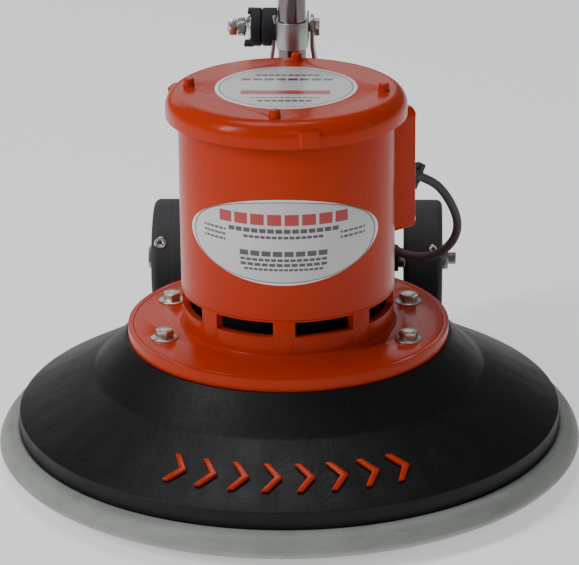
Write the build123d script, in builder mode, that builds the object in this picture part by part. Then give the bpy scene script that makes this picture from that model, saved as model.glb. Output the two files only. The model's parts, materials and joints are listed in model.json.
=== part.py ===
from build123d import *
import os
from math import atan2, cos, degrees, pi, radians, sin, sqrt, tan

os.makedirs("parts", exist_ok=True)

# The machine stands on its pad. The origin is on the floor, on the motor's axis.
# +Z is up, -Y is the front with the label, +Y is the rear with the wheels and the handle.

# ---------------------------------------------------------------- driving sizes
pad_radius = 200.0
pad_height = 20.0
motor_radius = 83.0
motor_shell_height = 139.0
wheel_radius = 50.0
wheel_width = 33.0
handle_tube_d = 22.2
handle_top_z = 1120.0
crossbar_length = 460.0

# ---------------------------------------------------------------- clearances
running_gap = 0.05  # radial, shaft or pin in a bore
bolt_gap = 0.4  # radial, bolt in a plain hole
side_gap = 0.3  # between moving faces
collar_gap = 0.08  # radial, sliding collar on the tube
open_pivot_gap = 2.4  # radial, stay eye round the cross bolt

# ---------------------------------------------------------------- deck and bumper
pad_gap = 6.0  # radial, pad to the bumper's inside
deck_wall = 6.0
bumper_lip = 7.0  # the bumper's seat under the skirt
skirt_radius = pad_radius + pad_gap + bumper_lip
skirt_bottom_z = 26.0
skirt_height = 15.6
skirt_draft = 0.8
crease_z = 73.5
crease_share = 0.3  # of the way from the shoulder out to the skirt
crease_round = 12.0
shoulder_round = 2.0
deck_top_z = 100.0
ledge_inner_radius = motor_radius + 4.0
bumper_width = 16.0
bumper_bottom_z = 8.0
bumper_inner_radius = pad_radius + pad_gap
rib_count = 8
rib_thickness = 5.0

mark_count = 8
mark_spread = 52.4  # degrees between the first and the last mark
mark_middle_angle = -87.9
mark_width = 15.0
mark_length = 25.0
mark_height = 3.0

# ---------------------------------------------------------------- flange and neck
flange_radius = motor_radius + 42.3
shoulder_radius = flange_radius + 2.2
crease_radius = shoulder_radius + crease_share * (skirt_radius - shoulder_radius)
flange_thickness = 9.6
flange_bolt_x = motor_radius + 11.0
flange_bolt_y = 40.7
flange_bolt_d = 8.0
neck_gap = 0.6  # the neck stands this far inside the motor shell
neck_wall = 6.0
neck_height = 30.4
slot_count = 8
slot_height = 12.0
slot_top_margin = 1.4
pillar_width = 16.8

# ---------------------------------------------------------------- motor
shell_wall = 3.0
shaft_radius = 10.0
bearing_od = 47.0
bearing_width = 14.0
race_thickness = 4.0
lower_bearing_lift = 12.0  # bearing seat above the flange's underside
core_height = 60.0
core_lift = 40.0  # stator core above the shell's lower edge
air_gap = 0.5
rotor_radius = 49.5
tooth_count = 24
end_turn_height = 15.0
bell_thickness = 8.0
bell_drop = 17.0  # end bell's underside below the shell's upper edge
fan_radius = 62.0
fan_blade_count = 9
fan_height = 10.0

# ---------------------------------------------------------------- top cover
cover_overhang = 9.5
cover_height = 19.4
cover_rim_radius = 12.5
cover_wall = 3.0
post_circle_radius = motor_radius - 8.3
post_start_angle = -94.4
post_d = 8.4
post_height = 6.0
tie_screw_d = 5.0
lug_width = 15.6
lug_start_angle = -77.2
top_label_radius = 54.4
label_thickness = 0.6
front_label_arc = 168.0
front_label_height = 68.0
front_label_drop = 76.0  # label's centre below the shell's upper edge

# ---------------------------------------------------------------- terminal box
box_angle = -90.0 + 122.0
box_width = 58.0
box_reach = motor_radius + 13.0  # cover seat, from the motor's axis
box_bottom_z = 175.5
box_height = 98.5
box_wall = 3.0
box_draft = 3.0
box_cover_thickness = 3.0
gland_pitch = 25.0
gland_z = 216.7
gland_shift = -3.4  # along the cover, from its middle
gland_af = 17.0
gland_length = 22.0
cord_d = 7.0
cord_depth = 6.0  # how far the cord goes into each fitting

# ---------------------------------------------------------------- rear carriage
axle_d = 10.0
axle_nut_radius = 8.5  # half of the size across flats
arm_x = motor_radius + 0.6
arm_width = 22.0
arm_thickness = 4.0
arm_rise = 20.2  # degrees
arm_bolt_d = 8.0
bracket_thickness = 6.0
bracket_front_y = motor_radius + 5.5
bracket_rear_y = motor_radius + 89.0
bracket_front_half_width = 66.0
bracket_bolt_x = 28.0
bracket_bolt_y = motor_radius + 21.0
bracket_bolt_d = 8.0
tab_front_y = motor_radius + 47.0
arm_root_z = 113.2  # the arms' middle line at the front of the tabs
arm_bolt_insets = (5.5, 24.5)  # behind the front of the tabs
washer_thickness = 2.5
nut_height = 6.0
hub_radius = 34.0
hub_recess = 3.5
wheel_gap = 1.7  # tread to the skirt's edge
wheel_side_gap = 4.1  # arm to the wheel's side
tread_round = 7.0  # width of the tread's rounded shoulder
wheel_x = arm_x + arm_thickness / 2 + wheel_side_gap + wheel_width / 2

# The axle lies on the arms' line, just far enough back for the treads to clear the skirt and the bumper.
arm_slope = radians(arm_rise)
line_z = arm_root_z + tab_front_y * tan(arm_slope)
tread_inner_x = wheel_x - wheel_width / 2 + tread_round
least_axle_y = bracket_rear_y + 0.6 * wheel_radius


def clear_axle_y(edge_radius, edge_z):
    """Where on the arms' line the axle is when the treads just clear a round edge."""
    edge_y = sqrt(edge_radius**2 - tread_inner_x**2)
    drop = line_z - edge_z
    along = edge_y + drop * tan(arm_slope)
    beyond = edge_y**2 + drop**2 - (wheel_radius + wheel_gap) ** 2
    square = 1 + tan(arm_slope) ** 2
    spread = along**2 - square * beyond
    return (along + sqrt(spread)) / square if spread > 0 else least_axle_y


axle_y = max(
    clear_axle_y(skirt_radius - skirt_draft, skirt_bottom_z + skirt_height),
    clear_axle_y(skirt_radius + bumper_width, 0.5 * (bumper_bottom_z + skirt_bottom_z)),
    clear_axle_y(skirt_radius + 0.8 * bumper_width, skirt_bottom_z + 2.0),
)
axle_z = line_z - axle_y * tan(arm_slope)

# ---------------------------------------------------------------- handle and stay
pivot_y = motor_radius + 47.0
pivot_z = 150.0
pivot_pin_d = 10.0
clevis_thickness = 5.0
eye_radius = 12.0
socket_radius = handle_tube_d / 2 + 3.9
clevis_gap = 2 * socket_radius - 2.0
socket_height = 50.0
collar_wall = 1.6
collar_height = 22.0
collar_z = 304.0
cross_bolt_offset = handle_tube_d / 2 + 8.9  # behind the tube's axis
cross_bolt_d = 8.0
stay_pivot_dy = 25.0
stay_pivot_dz = -10.0
stay_width = 20.0
stay_thickness = 3.0
stay_top_x = handle_tube_d / 2 + 4.4
stay_bottom_x = stay_top_x + 20.5
lug_thickness = 4.0
clamp_radius = 15.5
lever_length = 62.0

switch_box_width = 120.0
switch_box_depth = 66.0
switch_box_height = 100.0
switch_box_wall = 3.0
switch_box_drop = 36.0  # box top below the crossbar's axis
grip_length = 120.0
grip_d = handle_tube_d + 9.8
trigger_length = 92.0

# ---------------------------------------------------------------- levels that follow
flange_top_z = deck_top_z + flange_thickness
shell_bottom_z = flange_top_z + neck_height
shell_top_z = shell_bottom_z + motor_shell_height
shell_inner_radius = motor_radius - shell_wall
neck_radius = motor_radius - neck_gap
cover_radius = motor_radius + cover_overhang
cover_top_z = shell_top_z + cover_height
lower_bearing_z = deck_top_z + lower_bearing_lift
bell_z = shell_top_z - bell_drop
core_z = shell_bottom_z + core_lift
grip_face_thickness = 2.0
driver_bottom_z = pad_height + grip_face_thickness
driver_thickness = 12.0
driver_radius = pad_radius - 10.0
driver_top_z = driver_bottom_z + driver_thickness
hub_disc_thickness = 8.0
hub_disc_radius = 60.0
hub_bolt_circle = hub_disc_radius - 14.0
hub_bolt_d = 8.0
end_bolt_af = 17.0
end_bolt_d = 10.0
keyway_rise = 6.0  # above the driver's top
keyway_length = 44.0
key_width = 6.0
hub_boss_radius = 26.0
hub_top_z = deck_top_z - 10.0
driver_bore_radius = 24.0


box_axis = Vector(cos(radians(box_angle)), sin(radians(box_angle)), 0)
box_around = Vector(-sin(radians(box_angle)), cos(radians(box_angle)), 0)


bolt_across = 1.63  # across flats, as a share of the bolt's diameter
bolt_head_height = 5.3


def hex_bolt(seat, shank_d, shank_length, across_flats, head_height):
    """A hex bolt: the head stands on the seat plane, the shank goes down from it."""
    with BuildPart() as bolt:
        with BuildSketch(seat):
            RegularPolygon(radius=across_flats / 2, side_count=6, major_radius=False)
        extrude(amount=head_height)
        with BuildSketch(seat):
            Circle(shank_d / 2)
        extrude(amount=-shank_length)
    return bolt.part


def hex_nut(base, across_flats, bore_d, height):
    """A hex nut that stands on the base plane."""
    with BuildPart() as nut:
        with BuildSketch(base):
            RegularPolygon(radius=across_flats / 2, side_count=6, major_radius=False)
            Circle(bore_d / 2, mode=Mode.SUBTRACT)
        extrude(amount=height)
    return nut.part


def box_plane(reach):
    """A plane square to the terminal box's direction, this far from the motor's axis."""
    return Plane(origin=box_axis * reach + Vector(0, 0, box_bottom_z + box_height / 2),
                 x_dir=box_around, z_dir=box_axis)


def nearest(corners, x, z):
    """The corner that is nearest to a place in the XZ plane."""
    return corners.sort_by(lambda corner: abs(corner.X - x) + abs(corner.Z - z))[0]


def save(piece, name):
    """Label one finished piece and write its STEP file."""
    piece.part.label = name
    export_step(piece.part, f"parts/{name}.step")


# ================================================================ deck
with BuildPart() as deck_housing:
    with BuildSketch(Plane.XZ) as deck_profile:
        with BuildLine():
            Polyline(
                (skirt_radius, skirt_bottom_z),
                (skirt_radius - skirt_draft, skirt_bottom_z + skirt_height),
                (crease_radius, crease_z),
                (shoulder_radius + 3.0, deck_top_z - 4.0),
                (shoulder_radius, deck_top_z),
                (ledge_inner_radius, deck_top_z),
                (ledge_inner_radius, deck_top_z - deck_wall),
                (shoulder_radius - deck_wall, deck_top_z - deck_wall),
                (crease_radius - deck_wall, crease_z - 0.6 * deck_wall),
                (skirt_radius - deck_wall, skirt_bottom_z + skirt_height - deck_wall),
                (skirt_radius - deck_wall, skirt_bottom_z),
                close=True,
            )
        make_face()
        corners = deck_profile.vertices()
        fillet(nearest(corners, crease_radius, crease_z), radius=crease_round)
        fillet(nearest(corners, shoulder_radius, deck_top_z), radius=shoulder_round)
    revolve(axis=Axis.Z)
    # stiffening ribs under the cone
    with BuildSketch(Plane.XY.offset(crease_z - 14.0)):
        with PolarLocations(crease_radius - 24.0, rib_count, start_angle=22.5):
            Rectangle(40.0, rib_thickness)
    extrude(until=Until.NEXT)
    with Locations((0, 0, deck_top_z)):
        with GridLocations(2 * flange_bolt_x, 2 * flange_bolt_y, 2, 2):
            Hole(flange_bolt_d / 2 + bolt_gap, depth=3 * deck_wall)
    with Locations((0, bracket_bolt_y, deck_top_z)):
        with GridLocations(2 * bracket_bolt_x, 1.0, 2, 1):
            Hole(bracket_bolt_d / 2 + bolt_gap, depth=3 * deck_wall)
save(deck_housing, "deck_housing")

with BuildPart() as bumper_ring:
    bumper_top_z = skirt_bottom_z + 2.0
    bumper_radius = skirt_radius + bumper_width
    bumper_mid_z = 0.5 * (bumper_bottom_z + bumper_top_z)
    with BuildSketch(Plane.XZ):
        with BuildLine():
            Polyline(
                (skirt_radius, bumper_top_z),
                (skirt_radius, skirt_bottom_z),
                (bumper_inner_radius, skirt_bottom_z),
                (bumper_inner_radius, bumper_bottom_z),
                (bumper_radius - 9.0, bumper_bottom_z),
            )
            ThreePointArc(
                (bumper_radius - 9.0, bumper_bottom_z),
                (bumper_radius, bumper_mid_z - 1.0),
                (skirt_radius, bumper_top_z),
            )
        make_face()
    revolve(axis=Axis.Z)
save(bumper_ring, "bumper_ring")

# Eight raised marks on the cone: plain chevrons, one after another.
cone_angle = degrees(atan2(crease_z - skirt_bottom_z - skirt_height,
                           skirt_radius - skirt_draft - crease_radius))
cone_mid_radius = 0.5 * (skirt_radius - skirt_draft + crease_radius) + 2.5
cone_mid_z = skirt_bottom_z + skirt_height + (skirt_radius - skirt_draft - cone_mid_radius) * tan(
    radians(cone_angle))
with BuildPart() as deck_badges:
    for index in range(mark_count):
        angle = mark_middle_angle + mark_spread * (index / (mark_count - 1) - 0.5)
        radial = Vector(cos(radians(angle)), sin(radians(angle)), 0)
        normal = radial * sin(radians(cone_angle)) + Vector(0, 0, cos(radians(cone_angle)))
        around = Vector(-sin(radians(angle)), cos(radians(angle)), 0)
        seat = radial * cone_mid_radius + Vector(0, 0, cone_mid_z)
        with BuildSketch(Plane(origin=seat, x_dir=around, z_dir=normal)):
            with BuildLine():
                half = mark_width / 2
                tall = mark_length / 2
                Polyline(
                    (-half, -tall),
                    (-half + 5.0, -tall),
                    (half, 0),
                    (-half + 5.0, tall),
                    (-half, tall),
                    (half - 6.0, 0),
                    close=True,
                )
            make_face()
        extrude(amount=mark_height)
    # trim the backs to the cone
    with BuildSketch(Plane.XZ):
        with BuildLine():
            Polyline(
                (1.0, skirt_bottom_z),
                (skirt_radius, skirt_bottom_z),
                (skirt_radius - skirt_draft, skirt_bottom_z + skirt_height),
                (crease_radius, crease_z),
                (1.0, crease_z),
                close=True,
            )
        make_face()
    revolve(axis=Axis.Z, mode=Mode.SUBTRACT)
save(deck_badges, "deck_badges")

# ================================================================ flange
with BuildPart() as motor_flange:
    bearing_radius = bearing_od / 2
    seat_radius = bearing_radius + 8.0
    hub_rim_z = lower_bearing_z + bearing_width
    with BuildSketch(Plane.XZ):
        with BuildLine():
            Polyline(
                (flange_radius, deck_top_z),
                (flange_radius, flange_top_z),
                (flange_radius - 3.8, flange_top_z),
                (flange_radius - 4.2, flange_top_z - 0.7),
                (flange_radius - 4.6, flange_top_z),
                (neck_radius + 2.5, flange_top_z),
                (neck_radius, flange_top_z + 2.5),
                (neck_radius, shell_bottom_z),
                (neck_radius - neck_wall, shell_bottom_z),
                (neck_radius - neck_wall, flange_top_z),
                (seat_radius, flange_top_z),
                (seat_radius, hub_rim_z),
                (bearing_radius, hub_rim_z),
                (bearing_radius, lower_bearing_z),
                (shaft_radius + 3.0, lower_bearing_z),
                (shaft_radius + 3.0, deck_top_z),
                close=True,
            )
        make_face()
    revolve(axis=Axis.Z)
    # air slots round the neck, with pillars between them
    with BuildSketch(Plane.XY.offset(shell_bottom_z - slot_top_margin - slot_height)):
        Circle(neck_radius + 1.0)
        Circle(neck_radius - neck_wall - 1.0, mode=Mode.SUBTRACT)
        with PolarLocations(neck_radius - neck_wall / 2, slot_count, start_angle=-90.0):
            Rectangle(neck_wall + 4.0, pillar_width, mode=Mode.SUBTRACT)
    extrude(amount=slot_height, mode=Mode.SUBTRACT)
    with Locations((0, 0, flange_top_z)):
        with GridLocations(2 * flange_bolt_x, 2 * flange_bolt_y, 2, 2):
            Hole(flange_bolt_d / 2 + bolt_gap, depth=2 * flange_thickness)
    with Locations((0, bracket_bolt_y, flange_top_z)):
        with GridLocations(2 * bracket_bolt_x, 1.0, 2, 1):
            Hole(bracket_bolt_d / 2 + bolt_gap, depth=2 * flange_thickness)
save(motor_flange, "motor_flange")

washer_top_z = flange_top_z + 1.6
with BuildPart() as flange_washers:
    with BuildSketch(Plane.XY.offset(flange_top_z)):
        with GridLocations(2 * flange_bolt_x, 2 * flange_bolt_y, 2, 2):
            Circle(1.35 * flange_bolt_d)
            Circle(flange_bolt_d / 2 + bolt_gap, mode=Mode.SUBTRACT)
    extrude(amount=washer_top_z - flange_top_z)
save(flange_washers, "flange_washers")

with BuildPart() as flange_bolts:
    with GridLocations(2 * flange_bolt_x, 2 * flange_bolt_y, 2, 2):
        add(hex_bolt(Plane.XY.offset(washer_top_z), flange_bolt_d,
                     washer_top_z - deck_top_z + deck_wall + 8.0, bolt_across * flange_bolt_d,
                     bolt_head_height))
save(flange_bolts, "flange_bolts")

# ================================================================ motor
with BuildPart() as motor_shell:
    with BuildSketch(Plane.XZ):
        with BuildLine():
            Polyline(
                (motor_radius - 0.8, shell_bottom_z),
                (motor_radius, shell_bottom_z + 0.8),
                (motor_radius, shell_top_z),
                (shell_inner_radius, shell_top_z),
                (shell_inner_radius, shell_bottom_z),
                close=True,
            )
        make_face()
    revolve(axis=Axis.Z)
    # wire hole behind the terminal box
    with BuildSketch(box_plane(shell_inner_radius - 10.0)):
        with Locations((0, 32.0)):
            Circle(8.0)
    extrude(amount=20.0, mode=Mode.SUBTRACT)
save(motor_shell, "motor_shell")

core_outer = shell_inner_radius
core_bore = rotor_radius + air_gap
with BuildPart() as stator_core:
    with BuildSketch(Plane.XY.offset(core_z)):
        Circle(core_outer)
        Circle(core_bore, mode=Mode.SUBTRACT)
        with PolarLocations(core_bore + 9.0, tooth_count):
            Rectangle(15.0, pi * core_bore / tooth_count, mode=Mode.SUBTRACT)
    extrude(amount=core_height)
save(stator_core, "stator_core")

with BuildPart() as stator_windings:
    with BuildSketch(Plane.XZ):
        for base_z in (core_z - end_turn_height, core_z + core_height):
            with Locations((core_bore + 12.0, base_z + end_turn_height / 2)):
                RectangleRounded(18.0, end_turn_height, 4.0)
    revolve(axis=Axis.Z)
save(stator_windings, "stator_windings")

bell_top_z = bell_z + bell_thickness
vent_circle = 0.5 * (shell_inner_radius + seat_radius)
cover_inner_z = cover_top_z - cover_wall
post_foot_z = shell_top_z + 4.0
with BuildPart() as upper_end_bell:
    with BuildSketch(Plane.XZ):
        with BuildLine():
            Polyline(
                (shell_inner_radius, bell_z),
                (shell_inner_radius, bell_top_z),
                (seat_radius, bell_top_z),
                (seat_radius, bell_z + bearing_width + 2.0),
                (shaft_radius + 3.0, bell_z + bearing_width + 2.0),
                (shaft_radius + 3.0, bell_z + bearing_width),
                (bearing_radius, bell_z + bearing_width),
                (bearing_radius, bell_z),
                close=True,
            )
        make_face()
    revolve(axis=Axis.Z)
    with BuildSketch(Plane.XY.offset(bell_top_z)):
        with PolarLocations(post_circle_radius, 4, start_angle=post_start_angle):
            Circle(tie_screw_d)
    extrude(amount=post_foot_z - bell_top_z)
    with BuildSketch(Plane.XY.offset(bell_z)):
        with PolarLocations(vent_circle, 8, start_angle=post_start_angle + 22.5):
            Circle(6.0)
    extrude(amount=bell_thickness, mode=Mode.SUBTRACT)
    with BuildSketch(Plane.XY.offset(bell_z)):
        with PolarLocations(post_circle_radius, 4, start_angle=post_start_angle):
            Circle(tie_screw_d / 2 + running_gap)
    extrude(amount=post_foot_z - bell_z, mode=Mode.SUBTRACT)
save(upper_end_bell, "upper_end_bell")


ball_circle = 0.5 * (shaft_radius + bearing_radius)
ball_radius = 0.5 * (bearing_radius - shaft_radius) - 0.45 * race_thickness
bearing_middles = [base_z + bearing_width / 2 for base_z in (lower_bearing_z, bell_z)]

with BuildPart() as bearing_races:
    with BuildSketch(Plane.XZ):
        for middle in bearing_middles:
            with Locations((bearing_radius - race_thickness / 2, middle)):
                Rectangle(race_thickness, bearing_width)
            with Locations((ball_circle, middle)):
                Circle(ball_radius + running_gap, mode=Mode.SUBTRACT)
    revolve(axis=Axis.Z)
save(bearing_races, "bearing_races")

# Each inner race carries its balls.
with BuildPart() as bearing_cores:
    with BuildSketch(Plane.XZ):
        for middle in bearing_middles:
            with Locations((shaft_radius + race_thickness / 2, middle)):
                Rectangle(race_thickness, bearing_width)
            with Locations((ball_circle, middle)):
                Circle(ball_radius + running_gap, mode=Mode.SUBTRACT)
    revolve(axis=Axis.Z)
    for middle in bearing_middles:
        with Locations((0, 0, middle)):
            with PolarLocations(ball_circle, 8):
                Sphere(ball_radius)
save(bearing_cores, "bearing_cores")

# ================================================================ top cover
with BuildPart() as top_cover:
    inner_radius = cover_radius - cover_wall
    rim_z = cover_top_z - cover_rim_radius
    flat_radius = cover_radius - cover_rim_radius
    inner_rim = cover_rim_radius - cover_wall
    corner = sqrt(0.5)
    with BuildSketch(Plane.XZ):
        with BuildLine():
            Line((0, cover_top_z), (flat_radius, cover_top_z))
            ThreePointArc(
                (flat_radius, cover_top_z),
                (flat_radius + corner * cover_rim_radius, rim_z + corner * cover_rim_radius),
                (cover_radius, rim_z),
            )
            Polyline(
                (cover_radius, rim_z),
                (cover_radius, shell_top_z),
                (inner_radius, shell_top_z),
                (inner_radius, rim_z),
            )
            ThreePointArc(
                (inner_radius, rim_z),
                (flat_radius + corner * inner_rim, rim_z + corner * inner_rim),
                (flat_radius, cover_inner_z),
            )
            Line((flat_radius, cover_inner_z), (0, cover_inner_z))
            Line((0, cover_inner_z), (0, cover_top_z))
        make_face()
    revolve(axis=Axis.Z)
    with BuildSketch(Plane.XY.offset(post_foot_z)):
        with PolarLocations(post_circle_radius, 4, start_angle=post_start_angle):
            Circle(tie_screw_d)
    extrude(amount=cover_inner_z - post_foot_z)
    # rim lugs
    with BuildSketch(Plane.XY.offset(shell_top_z + 1.5)):
        with PolarLocations(cover_radius - 4.5, 3, start_angle=lug_start_angle):
            RectangleRounded(13.0, lug_width, 2.5)
        Circle(cover_radius - cover_wall / 2, mode=Mode.SUBTRACT)
    extrude(amount=cover_height - 8.0)
    with BuildSketch(Plane.XY.offset(post_foot_z)):
        with PolarLocations(post_circle_radius, 4, start_angle=post_start_angle):
            Circle(tie_screw_d / 2 + running_gap)
    extrude(amount=cover_top_z - post_foot_z, mode=Mode.SUBTRACT)
save(top_cover, "top_cover")

with BuildPart() as cover_screws:
    with BuildSketch(Plane.XY.offset(bell_z)):
        with PolarLocations(post_circle_radius, 4, start_angle=post_start_angle):
            Circle(tie_screw_d / 2)
    extrude(amount=cover_top_z - bell_z)
    with BuildSketch(Plane.XY.offset(cover_top_z)):
        with PolarLocations(post_circle_radius, 4, start_angle=post_start_angle):
            Circle(post_d / 2)
    extrude(amount=post_height)
    fillet(cover_screws.edges().group_by(Axis.Z)[-1], radius=1.4)
save(cover_screws, "cover_screws")

with BuildPart() as top_label:
    with BuildSketch(Plane.XY.offset(cover_top_z)):
        Circle(top_label_radius)
    extrude(amount=label_thickness)
save(top_label, "top_label")

# The front label is an oval that is wrapped on the shell.
with BuildPart() as front_label:
    with BuildSketch(Plane.XZ):
        with Locations((0, shell_top_z - front_label_drop)):
            Ellipse(motor_radius * sin(front_label_arc / 2 / motor_radius), front_label_height / 2)
    extrude(amount=motor_radius + label_thickness)
    with BuildSketch(Plane.XY.offset(shell_bottom_z)):
        Circle(motor_radius + label_thickness)
        Circle(motor_radius, mode=Mode.SUBTRACT)
    extrude(amount=motor_shell_height, mode=Mode.INTERSECT)
save(front_label, "front_label")

# ================================================================ spindle
with BuildPart() as motor_shaft:
    shaft_bottom_z = driver_top_z + 2.0
    shaft_top_z = shell_top_z + 14.0
    with BuildSketch(Plane.XZ):
        with BuildLine():
            Polyline(
                (0, shaft_bottom_z),
                (shaft_radius - 1.0, shaft_bottom_z),
                (shaft_radius, shaft_bottom_z + 1.0),
                (shaft_radius, hub_rim_z),
                (shaft_radius + 3.0, hub_rim_z),
                (shaft_radius + 3.0, bell_z),
                (shaft_radius, bell_z),
                (shaft_radius, shaft_top_z),
                (0, shaft_top_z),
                close=True,
            )
        make_face()
    revolve(axis=Axis.Z)
    # keyway for the drive hub
    with BuildSketch(Plane.XY.offset(driver_top_z + keyway_rise)):
        with Locations((shaft_radius, 0)):
            Rectangle(key_width + 1.0, key_width)
    extrude(amount=keyway_length, mode=Mode.SUBTRACT)
    # tapped hole for the end bolt
    with BuildSketch(Plane.XY.offset(shaft_bottom_z)):
        Circle(end_bolt_d / 2)
    extrude(amount=30.0, mode=Mode.SUBTRACT)
save(motor_shaft, "motor_shaft")

with BuildPart() as rotor_core:
    with BuildSketch(Plane.XZ):
        with Locations((0.5 * (rotor_radius + shaft_radius + 3.0), core_z + core_height / 2)):
            Rectangle(rotor_radius - shaft_radius - 3.0, core_height)
        with Locations((0.5 * (rotor_radius + shaft_radius) + 6.0, core_z + core_height / 2)):
            Rectangle(rotor_radius - shaft_radius - 18.0, core_height + 16.0)
    revolve(axis=Axis.Z)
save(rotor_core, "rotor_core")

with BuildPart() as shaft_key:
    with BuildSketch(Plane.XY.offset(driver_top_z + keyway_rise)):
        with Locations((shaft_radius - 0.25, 0)):
            Rectangle(key_width + 0.5, key_width)
    extrude(amount=keyway_length)
save(shaft_key, "shaft_key")

with BuildPart() as cooling_fan:
    fan_z = shell_top_z + 1.5
    with BuildSketch(Plane.XY.offset(fan_z)):
        Circle(fan_radius)
        Circle(shaft_radius, mode=Mode.SUBTRACT)
    extrude(amount=2.0)
    with BuildSketch(Plane.XY.offset(fan_z + 2.0)):
        Circle(shaft_radius + 7.0)
        with PolarLocations(0.6 * fan_radius, fan_blade_count):
            Rectangle(0.7 * fan_radius, 2.0, rotation=12.0)
        Circle(shaft_radius, mode=Mode.SUBTRACT)
    extrude(amount=fan_height)
save(cooling_fan, "cooling_fan")

with BuildPart() as drive_hub:
    with BuildSketch(Plane.XZ):
        with BuildLine():
            Polyline(
                (shaft_radius, driver_top_z),
                (hub_disc_radius, driver_top_z),
                (hub_disc_radius, driver_top_z + hub_disc_thickness),
                (hub_boss_radius + 4.0, driver_top_z + hub_disc_thickness),
                (hub_boss_radius, driver_top_z + hub_disc_thickness + 4.0),
                (hub_boss_radius, hub_top_z),
                (shaft_radius, hub_top_z),
                close=True,
            )
        make_face()
    revolve(axis=Axis.Z)
    with BuildSketch(Plane.XY.offset(driver_top_z + keyway_rise)):
        with Locations((shaft_radius, 0)):
            Rectangle(key_width + 1.0, key_width)
    extrude(amount=keyway_length, mode=Mode.SUBTRACT)
    with Locations((0, 0, driver_top_z + hub_disc_thickness)):
        with PolarLocations(hub_bolt_circle, 4, start_angle=45):
            Hole(hub_bolt_d / 2 + bolt_gap, depth=hub_disc_thickness)
save(drive_hub, "drive_hub")

with BuildPart() as hub_bolts:
    with PolarLocations(hub_bolt_circle, 4, start_angle=45):
        add(hex_bolt(Plane.XY.offset(driver_top_z + hub_disc_thickness), hub_bolt_d,
                     hub_disc_thickness + driver_thickness, bolt_across * hub_bolt_d,
                     bolt_head_height))
    # the large washer and bolt in the end of the shaft
    with BuildSketch(Plane.XY.offset(driver_top_z - 3.0)):
        Circle(18.0)
    extrude(amount=3.0)
    with BuildSketch(Plane.XY.offset(driver_top_z - 9.0)):
        RegularPolygon(radius=end_bolt_af / 2, side_count=6, major_radius=False)
    extrude(amount=6.0)
    with BuildSketch(Plane.XY.offset(driver_top_z)):
        Circle(end_bolt_d / 2 - running_gap)
    extrude(amount=26.0)
save(hub_bolts, "hub_bolts")

with BuildPart() as pad_driver:
    with BuildSketch(Plane.XZ):
        with BuildLine():
            Polyline(
                (driver_bore_radius, driver_bottom_z),
                (driver_radius - 2.0, driver_bottom_z),
                (driver_radius, driver_bottom_z + 2.0),
                (driver_radius, driver_top_z - 6.0),
                (driver_radius - 10.0, driver_top_z),
                (driver_bore_radius, driver_top_z),
                close=True,
            )
        make_face()
    revolve(axis=Axis.Z)
    with Locations((0, 0, driver_top_z)):
        with PolarLocations(hub_bolt_circle, 4, start_angle=45):
            Hole(hub_bolt_d / 2 + bolt_gap, depth=driver_thickness)
save(pad_driver, "pad_driver")

with BuildPart() as burnishing_pad:
    with BuildSketch(Plane.XY):
        Circle(pad_radius)
    extrude(amount=pad_height)
save(burnishing_pad, "burnishing_pad")

with BuildPart() as grip_face:
    with BuildSketch(Plane.XY.offset(pad_height)):
        Circle(driver_radius - 4.0)
        Circle(driver_bore_radius + 6.0, mode=Mode.SUBTRACT)
    extrude(amount=grip_face_thickness)
save(grip_face, "grip_face")

# ================================================================ terminal box
box_root = motor_radius - 22.0
box_outer_face = box_reach + box_cover_thickness
box_screw_span = box_width - 14.0
box_screw_rise = box_height - 14.0
box_screw_d = 4.0
box_post_radius = 4.5
with BuildPart() as terminal_box:
    with BuildSketch(box_plane(box_root)):
        RectangleRounded(box_width + 4.0, box_height + 4.0, 9.0)
    extrude(amount=box_reach - box_root, taper=box_draft)
    with BuildSketch(box_plane(box_root)):
        RectangleRounded(box_width + 4.0 - 2 * box_wall, box_height + 4.0 - 2 * box_wall, 7.0)
    extrude(amount=box_reach - box_root, taper=box_draft, mode=Mode.SUBTRACT)
    # screw posts in the corners
    with BuildSketch(box_plane(box_root)):
        with GridLocations(box_screw_span, box_screw_rise, 2, 2):
            Circle(box_post_radius)
    extrude(amount=box_reach - box_root)
    with BuildSketch(box_plane(box_root)):
        with GridLocations(box_screw_span, box_screw_rise, 2, 2):
            Circle(box_screw_d / 2)
    extrude(amount=box_reach - box_root, mode=Mode.SUBTRACT)
    with BuildSketch(Plane.XY.offset(box_bottom_z - 10.0)):
        Circle(motor_radius)
    extrude(amount=box_height + 20.0, mode=Mode.SUBTRACT)
save(terminal_box, "terminal_box")

gland_axis = box_axis * cos(radians(gland_pitch)) - Vector(0, 0, sin(radians(gland_pitch)))
gland_seat = box_axis * box_outer_face + box_around * gland_shift + Vector(0, 0, gland_z)
boss_length = 5.0


def gland_plane(reach):
    """A plane square to the gland's axis, this far out from the cover's face."""
    return Plane(origin=gland_seat + gland_axis * reach, x_dir=box_around, z_dir=gland_axis)


box_face_width = box_width + 4.0 - 2 * (box_reach - box_root) * tan(radians(box_draft))
box_face_height = box_height + 4.0 - 2 * (box_reach - box_root) * tan(radians(box_draft))
with BuildPart() as terminal_box_cover:
    with BuildSketch(box_plane(box_reach)):
        RectangleRounded(box_face_width, box_face_height, 7.0)
    extrude(amount=box_cover_thickness)
    outer_face = terminal_box_cover.faces().sort_by(Axis(origin=(0, 0, 0), direction=box_axis))[-1]
    fillet(outer_face.edges(), radius=1.8)
    with BuildSketch(gland_plane(boss_length)):
        Circle(gland_af / 2 + 2.0)
    extrude(amount=-boss_length - 3.0)
    with BuildSketch(gland_plane(-10.0)):
        Circle(cord_d / 2 + 0.5)
    extrude(amount=10.0 + boss_length, mode=Mode.SUBTRACT)
    with BuildSketch(box_plane(box_reach)):
        with GridLocations(box_screw_span, box_screw_rise, 2, 2):
            Circle(box_screw_d / 2 + bolt_gap)
    extrude(amount=box_cover_thickness, mode=Mode.SUBTRACT)
save(terminal_box_cover, "terminal_box_cover")

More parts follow.
